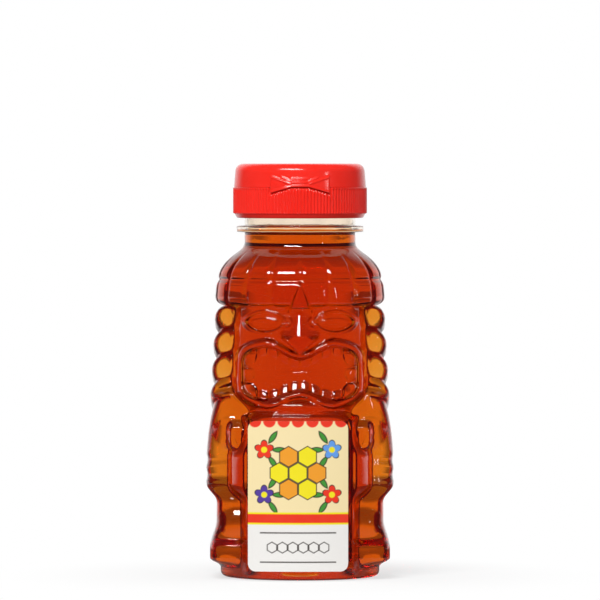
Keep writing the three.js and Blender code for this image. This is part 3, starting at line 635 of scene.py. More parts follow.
def nose_front(x, z, depth):
    """The nose: a wedge on the turban, a tent below the brow and a flat pointed underside."""
    apex = head_top + NOSE_APEX_RISE
    wing = head_top - NOSE_WING_DROP
    tip = head_top - NOSE_TIP_DROP
    fall = unit((apex - z) / NOSE_APEX_RISE)
    wedge_across = np.abs(x) / np.maximum(NOSE_WEDGE_HALF_WIDTH * fall, TINY)
    wedge = unit((1 - wedge_across) / (1 - NOSE_WEDGE_FLAT))
    wedge_depth = lerp(depth, lerp(*NOSE_WEDGE_DEPTH, fall), wedge)
    spread = unit((head_top - z) / NOSE_WING_DROP)
    tent_half_width = lerp(NOSE_BRIDGE_HALF_WIDTH, NOSE_WING_HALF_WIDTH, spread ** NOSE_WING_CURVE)
    tent = nose_tent(np.abs(x) / tent_half_width)
    tent_depth = lerp(depth, lerp(NOSE_BRIDGE_DEPTH, NOSE_BULB_DEPTH, spread), tent)
    rise = unit((z - tip) / (wing - tip))
    under_across = np.abs(x) / np.maximum(NOSE_WING_HALF_WIDTH * rise, TINY)
    under = falloff(under_across, NOSE_EDGE, 1)
    under = under * lerp(1, tent, rise ** NOSE_UNDER_CURVE)
    under_depth = lerp(depth, lerp(NOSE_TIP_DEPTH, NOSE_BULB_DEPTH, rise), under)
    lower = np.where(z > wing, tent_depth, under_depth)
    nose = lerp(lower, wedge_depth, ease(z, head_top - NOSE_BROW_STEP, head_top))
    return np.where((z > tip) & (z < apex), np.maximum(depth, nose), depth)


def curl_relief(x, z):
    dx = np.abs(x) - CURL_X
    dz = z - (head_top - CURL_DROP)
    distance = np.hypot(dx, dz)
    loop = roll((distance - CURL_RADIUS) / CURL_WIDTH)
    middle = roll(distance / CURL_WIDTH)
    stem = roll(dx / CURL_WIDTH) * within(dz, CURL_RADIUS, CURL_DROP, CURL_WIDTH)
    return CURL_RELIEF * np.maximum(np.maximum(loop, middle), stem)


def mouth_distance(x, z):
    """Distance outside the mouth's outline, negative inside, and the share of a lobe."""
    lobe = ease(np.abs(x), 0, MOUTH_LOBE_X)
    middle = head_top - MOUTH_DROP + MOUTH_LOBE_RISE * lobe
    half_height = lerp(*MOUTH_HALF_HEIGHT, lobe)
    across = np.abs(x) / MOUTH_HALF_WIDTH
    up = np.abs(z - middle) / half_height
    level = np.maximum(TINY, outline_level(across, up, MOUTH_SQUARENESS))
    slope_x = (across / level) ** (MOUTH_SQUARENESS - 1) / MOUTH_HALF_WIDTH
    slope_z = (up / level) ** (MOUTH_SQUARENESS - 1) / half_height
    return (level - 1) / np.hypot(slope_x, slope_z), lobe


def mouth_relief(x, z):
    outside, lobe = mouth_distance(x, z)
    lip_width = lerp(*LIP_WIDTH, lobe)
    tooth_width = lerp(*TOOTH_WIDTH, lobe)
    lip = LIP_RELIEF * roll((outside + lip_width / 2) / (lip_width / 2)) ** LIP_FULLNESS
    floor = MOUTH_FLOOR_DEPTH * falloff(outside + lip_width, *MOUTH_FLOOR_EDGE)
    up = z - (head_top - MOUTH_DROP)
    along = np.where(np.abs(x) > SIDE_TOOTH_X, up / SIDE_TOOTH_PITCH, x / TOOTH_PITCH - 0.5)
    beside = 2 * np.abs(along - np.round(along))
    inward = (-outside - lip_width) / tooth_width
    tip = TOOTH_TIP - TOOTH_TIP_ROUNDING * beside ** 2
    lean = (1 - TOOTH_LEAN * unit(inward / tip)) * (1 - TOOTH_CROWN * beside ** 2)
    inside = within(inward, 0, tip, TOOTH_EDGE) * falloff(beside, TOOTH_GAP_START, 1)
    tooth = lean * inside
    tongue_z = up - TONGUE_LINE_PITCH / 2
    line = np.cos(2 * np.pi * tongue_z / TONGUE_LINE_PITCH) * roll(x / TONGUE_HALF_WIDTH)
    on_tongue = np.abs(tongue_z) < TONGUE_LINES * TONGUE_LINE_PITCH / 2
    tongue = np.where(on_tongue & (inward > TONGUE_START), TONGUE_RELIEF * line, 0)
    return lip - floor + TOOTH_RELIEF * tooth + tongue


def chin_relief(x, z):
    middle = torso_top + CHIN_HALF_HEIGHT - CHIN_DROOP * (x / CHIN_HALF_WIDTH) ** 2
    return CHIN_RELIEF * roll((z - middle) / CHIN_HALF_HEIGHT) * roll(x / CHIN_HALF_WIDTH)


def hand_front(x, z, depth):
    """Hands: flat pads with grooves between the fingers."""
    dx = np.abs(x) - HAND_X
    dz = z - (torso_top - HAND_BELOW_CHIN)
    edge = (dx / HAND_HALF_WIDTH) ** HAND_SQUARENESS + (dz / HAND_HALF_HEIGHT) ** HAND_SQUARENESS
    block = falloff(edge, *HAND_EDGE)
    finger = np.abs(dz / FINGER_PITCH - np.round(dz / FINGER_PITCH))
    pad = HAND_DEPTH - FINGER_GROOVE * falloff(finger, 0, FINGER_GROOVE_SHARE)
    return np.maximum(depth, lerp(depth, pad, block))


def limb_relief(x, z):
    """Round bumps of the knees and the upper arms."""
    relief = 0 * x
    for bump_x, bump_z, half_width, half_height, height in (KNEE_BUMP, SHOULDER_BUMP):
        distance = np.hypot((np.abs(x) - bump_x) / half_width, (z - bump_z) / half_height)
        relief = relief + height * roll(distance)
    return relief


def crease_relief(x, z):
    offset = (np.abs(x) - face_half_width(z) + FACE_CREASE_INSET) / FACE_CREASE_WIDTH
    return FACE_CREASE_DEPTH * falloff(np.abs(offset), 0, 1)


def panel_depth(x):
    return panel_front - x * x / (2 * PANEL_CURVE_RADIUS)


def front_depth(x, z, depth):
    face = mouth_relief(x, z) + eye_relief(x, z) + curl_relief(x, z) + chin_relief(x, z) - crease_relief(x, z)
    on_face = within(z, torso_top, head_top, FACE_EDGE)
    front = depth + face * on_face + limb_relief(x, z)
    front = hand_front(x, z, nose_front(x, z, front))
    on_panel = within(x, -PANEL_HALF_WIDTH, PANEL_HALF_WIDTH, PANEL_EDGE)
    on_panel = on_panel * within(z, panel_bottom, panel_top, PANEL_EDGE)
    return lerp(front, panel_depth(x), on_panel)


def skin(angle, z):
    """Points of the figure's outer skin."""
    radius = core_radius(angle, z)
    x = radius * np.sin(angle)
    depth = radius * np.cos(angle)
    front = np.where(depth > 0, front_depth(x, z, depth), depth)
    return np.stack([x, -front, z], axis=-1)


# Meshes made of rings


def ring(angles, radius, z):
    return np.stack([radius * np.sin(angles), -radius * np.cos(angles), z + 0 * angles], axis=-1)


def lathe(angles, profile):
    """Rings from pairs of a radius and a height."""
    return [ring(angles, radius, z) for radius, z in profile]


def over_ring(outside, inside, top, edge):
    """Over the top of a ring from outside to inside, with its edges taken off."""
    return [(outside, top - edge), (outside - edge, top), (inside + edge, top), (inside, top - edge)]


def pole(z):
    return np.array([[0.0, 0.0, z]])


def even_angles(count):
    return 2 * np.pi * np.arange(count) / count - np.pi


def ring_faces(lower, upper):
    """Faces between two rings of point numbers, seen from outside; one ring may be coarser."""
    steps = max(len(lower), len(upper))
    step = np.arange(steps)
    a = lower[step * len(lower) // steps]
    b = lower[(step + 1) * len(lower) // steps % len(lower)]
    c = upper[(step + 1) * len(upper) // steps % len(upper)]
    d = upper[step * len(upper) // steps]
    faces = []
    for corners in zip(a.tolist(), b.tolist(), c.tolist(), d.tolist()):
        faces.append(list(dict.fromkeys(corners)))
    return faces


def new_mesh(name, points, faces):
    """A mesh over points in millimetres."""
    mesh = bpy.data.meshes.new(name)
    mesh.from_pydata((points * MM).tolist(), [], faces)
    mesh.validate()
    return mesh


def ring_mesh(name, rings, closed=False):
    """A skin over rings of points in millimetres, given from the bottom outside upwards."""
    starts = np.cumsum([0] + [len(points) for points in rings])
    numbers = [np.arange(start, start + len(points)) for start, points in zip(starts, rings)]
    if closed:
        numbers.append(numbers[0])
    faces = []
    for lower, upper in zip(numbers, numbers[1:]):
        faces.extend(ring_faces(lower, upper))
    mesh = new_mesh(name, np.concatenate(rings), faces)
    mesh.shade_smooth()
    return mesh


def add_object(name, data):
    thing = bpy.data.objects.new(name, data)
    scene.collection.objects.link(thing)
    return thing


def add_piece(mesh, materials, body, node):
    """An object with its mesh's name, tied to the frame."""
    piece = add_object(mesh.name, mesh)
    for material in materials:
        mesh.materials.append(material)
    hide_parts(node)
    if body:
        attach(piece, body)
    return piece


# Materials


def set_inputs(node, values):
    for name, value in values.items():
        node.inputs[name].default_value = value


def add_node(tree, kind, values, links):
    """A shader node with values and links, by the names or numbers of its inputs."""
    node = tree.nodes.new("ShaderNode" + kind)
    set_inputs(node, values)
    for name, source in links.items():
        tree.links.new(source, node.inputs[name])
    return node


def principled(name, colour, roughness):
    material = bpy.data.materials.new(name)
    material.use_nodes = True
    shader = material.node_tree.nodes["Principled BSDF"]
    set_inputs(shader, {"Base Color": (*colour, 1), "Roughness": roughness})
    return material, material.node_tree, shader


def noise(tree, scale, detail=3.0):
    """Noise over the object's own metres; scale is in features per metre."""
    place = tree.nodes.new("ShaderNodeTexCoord").outputs["Object"]
    texture = add_node(tree, "TexNoise", {"Scale": scale, "Detail": detail}, {"Vector": place})
    return texture.outputs["Fac"]


def add_bump(tree, shader, height, strength, distance):
    bump = add_node(tree, "Bump", {"Strength": strength, "Distance": distance}, {"Height": height})
    tree.links.new(bump.outputs["Normal"], shader.inputs["Normal"])


def vary(tree, shader, name, scale, low, high):
    """Lets a shader's input run between two ends with noise."""
    ramp = add_node(tree, "ValToRGB", {}, {"Fac": noise(tree, scale)})
    for stop, position, colour in zip(ramp.color_ramp.elements, VARIED_PART, (low, high)):
        stop.position = position
        stop.color = colour
    tree.links.new(ramp.outputs["Color"], shader.inputs[name])


def grey(value):
    return (value, value, value, 1)


def clear_wall(name, colour, ior):
    material, tree, shader = principled(name, colour, 0.02)
    set_inputs(shader, {"Transmission Weight": 1, "IOR": ior})
    add_bump(tree, shader, noise(tree, 160), 0.12, 0.0004)
    return material


def honey_material():
    material, tree, shader = principled("amber_honey", (1, 1, 1), 0)
    set_inputs(shader, {"Transmission Weight": 1, "IOR": 1})
    absorption = add_node(tree, "VolumeAbsorption", {"Color": HONEY_COLOUR, "Density": HONEY_DENSITY}, {})
    tree.links.new(absorption.outputs["Volume"], tree.nodes["Material Output"].inputs["Volume"])
    return material


def red_plastic():
    material, tree, shader = principled("red_moulded_plastic", (0.92, 0.025, 0.015), 0.16)
    vary(tree, shader, "Base Color", 90, (0.9, 0.023, 0.013, 1), (0.94, 0.027, 0.017, 1))
    vary(tree, shader, "Roughness", 700, grey(0.13), grey(0.2))
    add_bump(tree, shader, noise(tree, 2500, 2.0), 0.1, 0.0001)
    set_inputs(shader, {"Subsurface Weight": 0.15, "Subsurface Scale": 0.001})
    set_inputs(shader, {"Subsurface Radius": (1, 0.1, 0.05)})
    return material


def liner_material():
    material, tree, shader = principled("liner_foam", (0.87, 0.86, 0.82), 0.7)
    vary(tree, shader, "Base Color", 900, (0.82, 0.81, 0.77, 1), (0.9, 0.89, 0.86, 1))
    add_bump(tree, shader, noise(tree, 3000), 0.3, 0.0002)
    return material


# Bottle


def figure_grid():
    left = ((-180, 18), (-118, 18), (-88, 40), (-55, 38))
    right = ((22, 38), (55, 40), (88, 18), (118, 18), (180, 0))
    degrees = spaced(*left, (-22, 88), *right)[:-1]
    heights = spaced((BASE_CORNER_HEIGHT, 66), (torso_top - 2, 108), (head_top + 1, 40), (shoulder, 0))
    angles = np.radians(degrees)
    return angles, heights, skin(*np.meshgrid(angles, heights))


def window(field, reach=2):
    """The grid shifted to each neighbour; columns close round."""
    padded = np.pad(field, ((reach, reach), (0, 0)), mode="edge")
    for row in range(2 * reach + 1):
        for column in range(-reach, reach + 1):
            yield np.roll(padded[row:row + len(field)], column, axis=1)


def drawn_in(points):
    """The inner face of a wall: smoother than the skin, and behind the deepest groove nearby."""
    radius = np.hypot(points[..., 0], points[..., 1])
    smooth = np.mean(list(window(radius)), axis=0)
    smooth = np.mean(list(window(smooth)), axis=0)
    least = np.min(list(window(radius)), axis=0)
    inside = points.copy()
    inside[..., :2] *= (np.minimum(smooth - BODY_WALL, least - BODY_WALL / 2) / radius)[..., None]
    return inside


def thread_relief(angles, z, start, turns):
    """Height of a right-handed ridge that starts at the back."""
    relief = 0 * angles
    for turn in range(math.ceil(turns) + 1):
        along = (angles + np.pi) / (2 * np.pi) + turn
        middle = start + THREAD_PITCH * along
        ends = within(along, THREAD_LEAD_IN, turns, THREAD_FADE)
        relief = np.maximum(relief, ends * roll((z - middle) / THREAD_HALF_WIDTH))
    return relief


def base_rings(angles):
    shares = (0.2, 0.4, 0.55, 0.7, 0.8, 0.9, 1)
    profile = [(stand_inside * share, PUSH_UP * roll(share)) for share in shares]
    for turn in np.radians((0, 18, 36, 54, 72)):
        radius = lerp(STAND_RING_RADIUS, BASE_BEAD_RADIUS, np.sin(turn))
        profile.append((radius, BASE_CORNER_HEIGHT * (1 - np.cos(turn))))
    return [pole(PUSH_UP)] + lathe(angles, profile)


def neck_rings(angles):
    profile = []
    for z in spaced((shoulder, 8), (shoulder + NECK_FILLET_REACH, 3), (ring_bottom, 0))[1:]:
        profile.append((NECK_RADIUS + neck_fillet(z), z))
    for turn in np.linspace(0, np.pi, 9):
        radius = lerp(NECK_RADIUS, RING_RADIUS, min(1, RING_FULLNESS * math.sin(turn)))
        profile.append((radius, ring_bottom + RING_THICKNESS / 2 * (1 - math.cos(turn))))
    for z in np.arange(ring_top + FINISH_START, rim - RIM_ROUNDING, 0.32):
        relief = THREAD_RELIEF * thread_relief(angles, z, thread_start, THREAD_TURNS)
        profile.append((NECK_RADIUS + relief, z))
    for turn in np.linspace(0, np.pi, 7):
        radius = (NECK_RADIUS + neck_bore) / 2 + NECK_WALL / 2 * math.cos(turn)
        profile.append((radius, rim - RIM_ROUNDING * (1 - math.sin(turn))))
    return lathe(angles, profile)


def inner_rings(heights, points, gap):
    """Rings of the bottle's inner face from the shoulder down, or of the filling a gap inside it."""
    inside = drawn_in(points)[::2, ::2]
    inside[..., :2] *= 1 - gap / np.hypot(inside[..., 0], inside[..., 1])[..., None]
    heights = heights[::2]
    rings = []
    for height, row in zip(heights[::-1], inside[::-1]):
        if BASE_INSIDE_TOP < height < shoulder - SHOULDER_CLEARANCE:
            rings.append(row)
    lowest = rings[-1]
    bottom = BASE_WALL + gap
    stand_share = stand_inside / STAND_RING_RADIUS
    pushed_up = ((stand_share, 0), (stand_share - PUSH_UP_SLOPE, PUSH_UP))
    for share, rise in BASE_INSIDE_CORNER + pushed_up:
        rings.append(np.column_stack([lowest[:, :2] * share, np.full(len(lowest), bottom + rise)]))
    rings.append(pole(bottom + PUSH_UP))
    return rings


def honey_top(angles):
    radius = neck_bore - HONEY_GAP
    profile = []
    for share in (0.5, 0.8, 0.88, 0.94, 0.98, 1):
        climb = unit(1 - radius * (1 - share) / MENISCUS_WIDTH) ** 2
        profile.append((radius * share, fill_level + MENISCUS_RISE * climb))
    return [pole(fill_level)] + lathe(angles, profile)


def mark_walls(mesh, first_inner):
    """Gives the inner faces below the honey the second material, and ring and thread the third, whose warm
    tint is a painted reflection of the red cap.
    """
    points = np.zeros(3 * len(mesh.vertices), dtype=np.float32)
    mesh.vertices.foreach_get("co", points)
    heights = points.reshape(-1, 3)[:, 2] / MM
    for polygon in mesh.polygons:
        corners = list(polygon.vertices)
        if min(corners) >= first_inner and max(heights[corners]) <= fill_level + LEVEL_TOLERANCE:
            polygon.material_index = 1
        elif min(heights[corners]) >= ring_bottom:
            polygon.material_index = 2


def bottle_and_honey():
    angles, heights, points = figure_grid()
    half = angles[::2]
    outer = base_rings(half) + list(points) + neck_rings(half)
    bore_heights = (rim - BORE_STEP, fill_level + BORE_STEP, fill_level, bore_foot, shoulder)
    bore = [ring(half, neck_bore, z) for z in bore_heights]
    shell = ring_mesh("bottle_shell", outer + bore + inner_rings(heights, points, 0))
    mark_walls(shell, len(np.concatenate(outer)))
    sides = [ring(half, neck_bore - HONEY_GAP, z) for z in (bore_foot, shoulder)]
    filling = honey_top(half) + sides + inner_rings(heights, points, HONEY_GAP)
    return shell, ring_mesh("honey_fill", filling[::-1])


# Cap, lid and hinge


def from_front(angles):
    """Distance round the cap from its front."""
    return np.abs(angles) * cap_radius


def lift_edges(angles):
    """Low and high edge of the thumb lift, and whether an angle is on it."""
    across = from_front(angles)
    spread = unit((across - LIFT_BAR_HALF_WIDTH) / (LIFT_HALF_WIDTH - LIFT_BAR_HALF_WIDTH))
    low = LID_BOTTOM - lerp(*LIFT_HANG, spread)
    high = LID_BOTTOM + lerp(*LIFT_RISE, spread)
    return low, high, across < LIFT_HALF_WIDTH


def segment_distance(x, z, start, end):
    run = end[0] - start[0]
    rise = end[1] - start[1]
    along = unit(((x - start[0]) * run + (z - start[1]) * rise) / (run ** 2 + rise ** 2))
    return np.hypot(x - start[0] - along * run, z - start[1] - along * rise)


def lift_relief(angles, z):
    """The bow tie: a low plate with ridges along its edges and across its bar."""
    across = from_front(angles)
    _, high, _ = lift_edges(angles)
    ends = falloff(across, LIFT_HALF_WIDTH - LIFT_EDGE, LIFT_HALF_WIDTH)
    ridge = 0 * across
    for start, end in LIFT_RIDGES:
        distance = segment_distance(across, z - LID_BOTTOM, start, end)
        ridge = np.maximum(ridge, 1 - distance / LIFT_RIDGE_HALF_WIDTH)
    plate = ends * falloff(z, high - LIFT_EDGE, high)
    return LIFT_PLATE * plate + LIFT_RIDGE_RELIEF * ridge


def cap_angles():
    """Fine angles for the ribs, and coarse ones for the plain rings."""
    angles = even_angles(CAP_RIB_SAMPLES * CAP_RIB_COUNT)
    return angles, angles[::CAP_RIB_SAMPLES]


def boss_radius(angles, radius):
    """Radius of a round wall with the flat hinge boss at its back."""
    across = radius * np.sin(angles)
    at_back = (np.cos(angles) < 0) & (np.abs(across) < HINGE_HALF_WIDTH)
    flat = hinge_face / np.maximum(np.abs(np.cos(angles)), TINY)
    return np.where(at_back, np.maximum(radius, flat), radius)


def cap_wall(angles, z):
    ribs = np.abs(np.cos(angles * CAP_RIB_COUNT / 2))
    on_ribs = within(z, cap_bottom + CAP_BEAD_HEIGHT, DECK_TOP - CAP_TOP_BAND, CAP_RIB_FADE)
    radius = cap_radius - CAP_RIB_DEPTH * (1 - ribs) * on_ribs
    bead_drop = unit((cap_bottom + CAP_BEAD_HEIGHT - z) / CAP_BEAD_HEIGHT)
    radius = radius - CAP_RIB_DEPTH * (bead_drop > 0) - CAP_BEAD_TAPER * bead_drop ** CAP_BEAD_CURVE
    low, _, _ = lift_edges(angles)
    across = from_front(angles)
    ends = falloff(across, LIFT_HALF_WIDTH - LIFT_EDGE, LIFT_HALF_WIDTH + POCKET_MARGIN)
    pocket = ease(z, low - POCKET_MARGIN, low + LIFT_EDGE) * ends
    radius = lerp(radius, cap_radius - POCKET_DEPTH, pocket)
    boss_bottom = DECK_TOP - HINGE_BOSS_HEIGHT
    on_boss = ease(z, boss_bottom - HINGE_BOSS_FADE, boss_bottom)
    return lerp(radius, boss_radius(angles, radius), on_boss)


def cap_mesh():
    angles, coarse = cap_angles()
    bore = []
    thread_low = thread_start + THREAD_PITCH / 2
    for z in np.arange(DECK_BOTTOM, cap_bottom, -0.4):
        relief = CAP_THREAD_RELIEF * thread_relief(coarse, z, thread_low, CAP_THREAD_TURNS)
        bore.append((CAP_BORE - relief, z))
    bore.append((CAP_BORE, cap_bottom))
    heights = spaced((cap_bottom, 6), (cap_bottom + CAP_BEAD_HEIGHT, 30), (DECK_TOP - CAP_EDGE, 0))
    wall = [(cap_wall(angles, z), z) for z in heights]
    wall.append((cap_wall(angles, DECK_TOP) - CAP_EDGE, DECK_TOP))
    snap_inside = SNAP_RADIUS - SNAP_WIDTH
    snap_top = DECK_TOP + SNAP_HEIGHT
    deck = [
        (SNAP_RADIUS + MOULD_ROUNDING, DECK_TOP),
        (SNAP_RADIUS, DECK_TOP + MOULD_EDGE),
        *over_ring(SNAP_RADIUS, snap_inside, snap_top, MOULD_EDGE),
        (snap_inside, DECK_TOP + MOULD_EDGE),
        (snap_inside - MOULD_ROUNDING, DECK_TOP),
        (SPOUT_RADIUS + SPOUT_FOOT, DECK_TOP),
        (SPOUT_RADIUS, DECK_TOP + MOULD_FILLET),
        (SPOUT_TIP_RADIUS, spout_top - MOULD_ROUNDING),
        (SPOUT_TIP_RADIUS - MOULD_ROUNDING, spout_top),
        (SPOUT_BORE_RADIUS + MOULD_EDGE, spout_top),
        (SPOUT_BORE_RADIUS, spout_top - MOULD_EDGE),
        (SPOUT_BORE_RADIUS, DECK_BOTTOM),
    ]
    rings = lathe(coarse, bore) + lathe(angles, wall) + lathe(coarse, deck)
    return ring_mesh("screw_cap", rings, closed=True)


def lid_wall(angles, z):
    """Outer radius of the lid with its thumb lift and hinge boss."""
    radius = LID_RADIUS - LID_DRAFT * unit((z - LID_BOTTOM) / (lid_top - LID_BOTTOM))
    boss_top = LID_BOTTOM + HINGE_BOSS_HEIGHT
    on_boss = falloff(z, boss_top, boss_top + HINGE_BOSS_FADE)
    return lerp(radius, boss_radius(angles, radius), on_boss) + lift_relief(angles, z)


def lid_mesh():
    angles, coarse = cap_angles()
    low, _, on_lift = lift_edges(angles)
    bottom = np.where(on_lift, low, DECK_TOP + LID_SEAM)
    hang_inside = np.where(on_lift, cap_radius - POCKET_DEPTH + POCKET_FIT, LID_RADIUS - LID_WALL)
    ceiling = lid_top - LID_WALL
    ceiling_radius = LID_RADIUS - LID_DRAFT - LID_WALL
    plug = [
        (PLUG_RADIUS - MOULD_FILLET, PLUG_TIP),
        (PLUG_RADIUS, PLUG_TIP + MOULD_FILLET),
        (PLUG_RADIUS, ceiling - MOULD_ROUNDING),
        (PLUG_RADIUS + MOULD_ROUNDING, ceiling),
        (ceiling_radius - MOULD_FILLET, ceiling),
        (ceiling_radius, ceiling - MOULD_FILLET),
    ]
    wall = [
        (LID_RADIUS - LID_WALL, LID_BOTTOM),
        (hang_inside, LID_BOTTOM - LIFT_STEP * on_lift),
        (hang_inside, bottom),
    ]
    skirt_top = LID_BOTTOM + LID_SKIRT
    edge_bottom = lid_top - LID_EDGE_RADIUS
    heights = [lerp(bottom, skirt_top, share) for share in np.linspace(0, 1, 9)]
    heights.extend(np.linspace(skirt_top, edge_bottom, 40)[1:])
    wall.extend((lid_wall(angles, z), z) for z in heights)
    edge_radius = lid_wall(angles, edge_bottom)
    for turn in np.linspace(0, np.pi / 2, 8)[1:]:
        drawn = LID_EDGE_RADIUS * (1 - math.cos(turn))
        wall.append((edge_radius - drawn, edge_bottom + LID_EDGE_RADIUS * math.sin(turn)))
    inside = [pole(PLUG_TIP)] + lathe(coarse, plug)
    top = [ring(coarse, LID_TOP_RING, lid_top), pole(lid_top)]
    return ring_mesh("flip_lid_shell", inside + lathe(angles, wall) + top)


def strap_mesh():
    """The thin hinge strap, thinner along its fold."""
    left, _, low = strap_low
    right, _, high = strap_high
    sections = []
    for z in np.linspace(low, high, 25):
        thin = STRAP_FOLD_DEPTH * roll((z - (low + high) / 2) / STRAP_FOLD_HALF_HEIGHT)
        inside = strap_low[1] + thin * STRAP_INSIDE_SHARE
        outside = strap_high[1] - thin
        corners = [(left, inside), (right, inside), (right, outside), (left, outside)]
        sections.append(np.array([(x, y, z) for x, y in corners]))
    first = sections[0].mean(axis=0, keepdims=True)
    last = sections[-1].mean(axis=0, keepdims=True)
    return ring_mesh("hinge_strap", [first] + sections + [last])


def liner_mesh():
    outside = liner_high[0]
    inside = outside - LINER_WIDTH
    profile = over_ring(inside, outside, liner_low[2], -LINER_EDGE)
    profile.extend(over_ring(outside, inside, liner_high[2], LINER_EDGE))
    return ring_mesh("sealing_liner", lathe(even_angles(96), profile), closed=True)


# Label


def grid_faces(numbers):
    """Faces between the rows and columns of a grid of point numbers."""
    corners = (numbers[:-1, :-1], numbers[:-1, 1:], numbers[1:, 1:], numbers[1:, :-1])
    return np.stack(corners, axis=-1).reshape(-1, 4).tolist()


def label_mesh():
    """The film: a fine front that carries the print, and a plain back."""
    width = label_high[0] - label_low[0]
    height = label_high[2] - label_low[2]
    columns = round(width / LABEL_CELL)
    rows = round(height / LABEL_CELL)
    across = np.linspace(-width / 2, width / 2, columns + 1)
    in_corner = unit((width / 2 - np.abs(across)) / LABEL_CORNER)
    inset = LABEL_CORNER * (1 - np.sqrt(roll(1 - in_corner)))
    u, share = np.meshgrid(across, np.linspace(0, 1, rows + 1))
    z = lerp(label_low[2] + inset, label_high[2] - inset, share)
    x = u + (label_low[0] + label_high[0]) / 2
    back = -panel_depth(x) - LABEL_GAP
    front = np.stack([x, back - LABEL_THICKNESS, z], axis=-1)
    behind = np.stack([x, back, z], axis=-1)[[-1, 0]]
    points = np.concatenate([front, behind]).reshape(-1, 3)
    numbers = np.arange(len(points)).reshape(rows + 3, columns + 1)
    faces = grid_faces(np.concatenate([numbers, numbers[:1]]))
    faces.append(numbers[::-1, 0].tolist())
    faces.append(numbers[:, -1].tolist())
    mesh = new_mesh("front_label", points, faces)
    ink = np.tile(LABEL_WHITE, (len(points), 1))
    ink[:u.size] = label_print(u.ravel(), z.ravel() - label_low[2], height)
    attribute = mesh.color_attributes.new("print", "FLOAT_COLOR", "POINT")
    colours = np.column_stack([ink, np.ones(len(ink))])
    attribute.data.foreach_set("color", colours.astype(np.float32).ravel())
    return mesh


def paint(ink, colour, level, size):
    """Lays a colour over the print where a level is below a size."""
    cover = falloff(level, size - INK_EDGE, size + INK_EDGE)
    return lerp(ink, np.array(colour), cover[:, None])


def paint_outlined(ink, colour, level, size):
    return paint(paint(ink, INK_DARK, level, size), colour, level, size - INK_OUTLINE)


def hexagon(u, v):
    return np.maximum(np.abs(u), np.abs(u) / 2 + np.abs(v) * math.sqrt(3) / 2)


def blossom(u, v):
    petal = np.abs(np.cos(np.arctan2(u, v) * BLOSSOM_PETALS / 2))
    return np.hypot(u, v) / lerp(BLOSSOM_WAIST, 1, petal)


def leaf(u, v, turn):
    """A pointed leaf that starts from the middle, below zero inside."""
    along = u * math.cos(turn) + v * math.sin(turn) - LEAF_OFFSET
    beside = np.abs(v * math.cos(turn) - u * math.sin(turn))
    bow = (LEAF_LENGTH ** 2 + LEAF_WIDTH ** 2) / (2 * LEAF_WIDTH)
    return np.hypot(along, beside + bow - LEAF_WIDTH) - bow


def paint_blossoms(ink, u, v):
    for x, y, size, colour in BLOSSOMS:
        inward = math.pi if x > 0 else 0
        for turn in LEAF_TURNS:
            towards = inward + math.radians(turn - 90)
            ink = paint_outlined(ink, INK_GREEN, leaf(u - x, v - y, towards), 0)
        ink = paint_outlined(ink, colour, blossom(u - x, v - y), size)
        ink = paint(ink, INK_YELLOW, np.hypot(u - x, v - y), BLOSSOM_HEART * size)
    return ink


def paint_honeycomb(ink, u, v):
    ink = paint_outlined(ink, INK_YELLOW, hexagon(u, v - COMB_HEIGHT), COMB_CELL)
    for number, colour in enumerate(COMB_INKS):
        turn = 2 * math.pi * number / len(COMB_INKS)
        x = 2 * COMB_CELL * math.cos(turn)
        y = 2 * COMB_CELL * math.sin(turn)
        ink = paint_outlined(ink, colour, hexagon(u - x, v - COMB_HEIGHT - y), COMB_CELL)
    return ink


def label_print(u, v, height):
    """Colour of the label at millimetres across from its middle and up from its foot."""
    ink = lerp(np.array(LABEL_WHITE), np.array(LABEL_CREAM), ease(v, *BAND)[:, None])
    scallop = u - np.round(u / SCALLOP_PITCH) * SCALLOP_PITCH
    ink = paint(ink, INK_RED, np.hypot(scallop, v - height), SCALLOP_RADIUS)
    ink = paint_blossoms(ink, u, v)
    ink = paint_honeycomb(ink, u, v)
    from_band = np.abs(v - sum(BAND) / 2)
    half_band = (BAND[1] - BAND[0]) / 2
    ink = paint(ink, INK_YELLOW, from_band, half_band)
    ink = paint(ink, INK_RED, from_band, half_band - BAND_EDGE)
    for rule in RULES:
        beyond = np.maximum(np.abs(v - rule), np.abs(u) - RULE_LENGTH)
        ink = paint(ink, INK_DARK, beyond, RULE_WIDTH)
    for number in range(CELL_ROW_COUNT):
        x = 2 * CELL_ROW_CELL * (number - (CELL_ROW_COUNT - 1) / 2)
        ink = paint_outlined(ink, LABEL_WHITE, hexagon(u - x, v - CELL_ROW_HEIGHT), CELL_ROW_CELL)
    return ink


def label_material():
    material, tree, shader = principled("label_film", (0.95, 0.9, 0.75), 0.42)
    colour = tree.nodes.new("ShaderNodeVertexColor")
    colour.layer_name = "print"
    tree.links.new(colour.outputs["Color"], shader.inputs["Base Color"])
    vary(tree, shader, "Roughness", 500, grey(0.36), grey(0.48))
    return material


# Stage


def fade_to_white(tree, value, dim_end, white_end, dim_level):
    """A level that runs from a dim one to white between two values."""
    ends = {"From Min": dim_end, "From Max": white_end, "To Min": dim_level}
    fade = add_node(tree, "MapRange", ends, {"Value": value})
    fade.interpolation_type = "SMOOTHSTEP"
    return fade.outputs["Result"]


def by_ray(tree, ray, otherwise, level):
    """A level for one kind of ray, white if None, and another for the rest, the fill light if None."""
    links = {"Value": ray}
    if otherwise:
        links["To Min"] = otherwise
    if level:
        links["To Max"] = level
    return add_node(tree, "MapRange", {"To Min": FILL_LIGHT}, links).outputs["Result"]


def level_by_ray(tree, reflected, seen_through):
    """White seen directly, levels of their own in reflections and through the bottle, else fill light."""
    path = tree.nodes.new("ShaderNodeLightPath")
    level = by_ray(tree, path.outputs["Is Glossy Ray"], None, reflected)
    level = by_ray(tree, path.outputs["Is Transmission Ray"], level, seen_through)
    return by_ray(tree, path.outputs["Is Camera Ray"], level, None)


def parts_of(tree, vector):
    return add_node(tree, "SeparateXYZ", {}, {"Vector": vector}).outputs


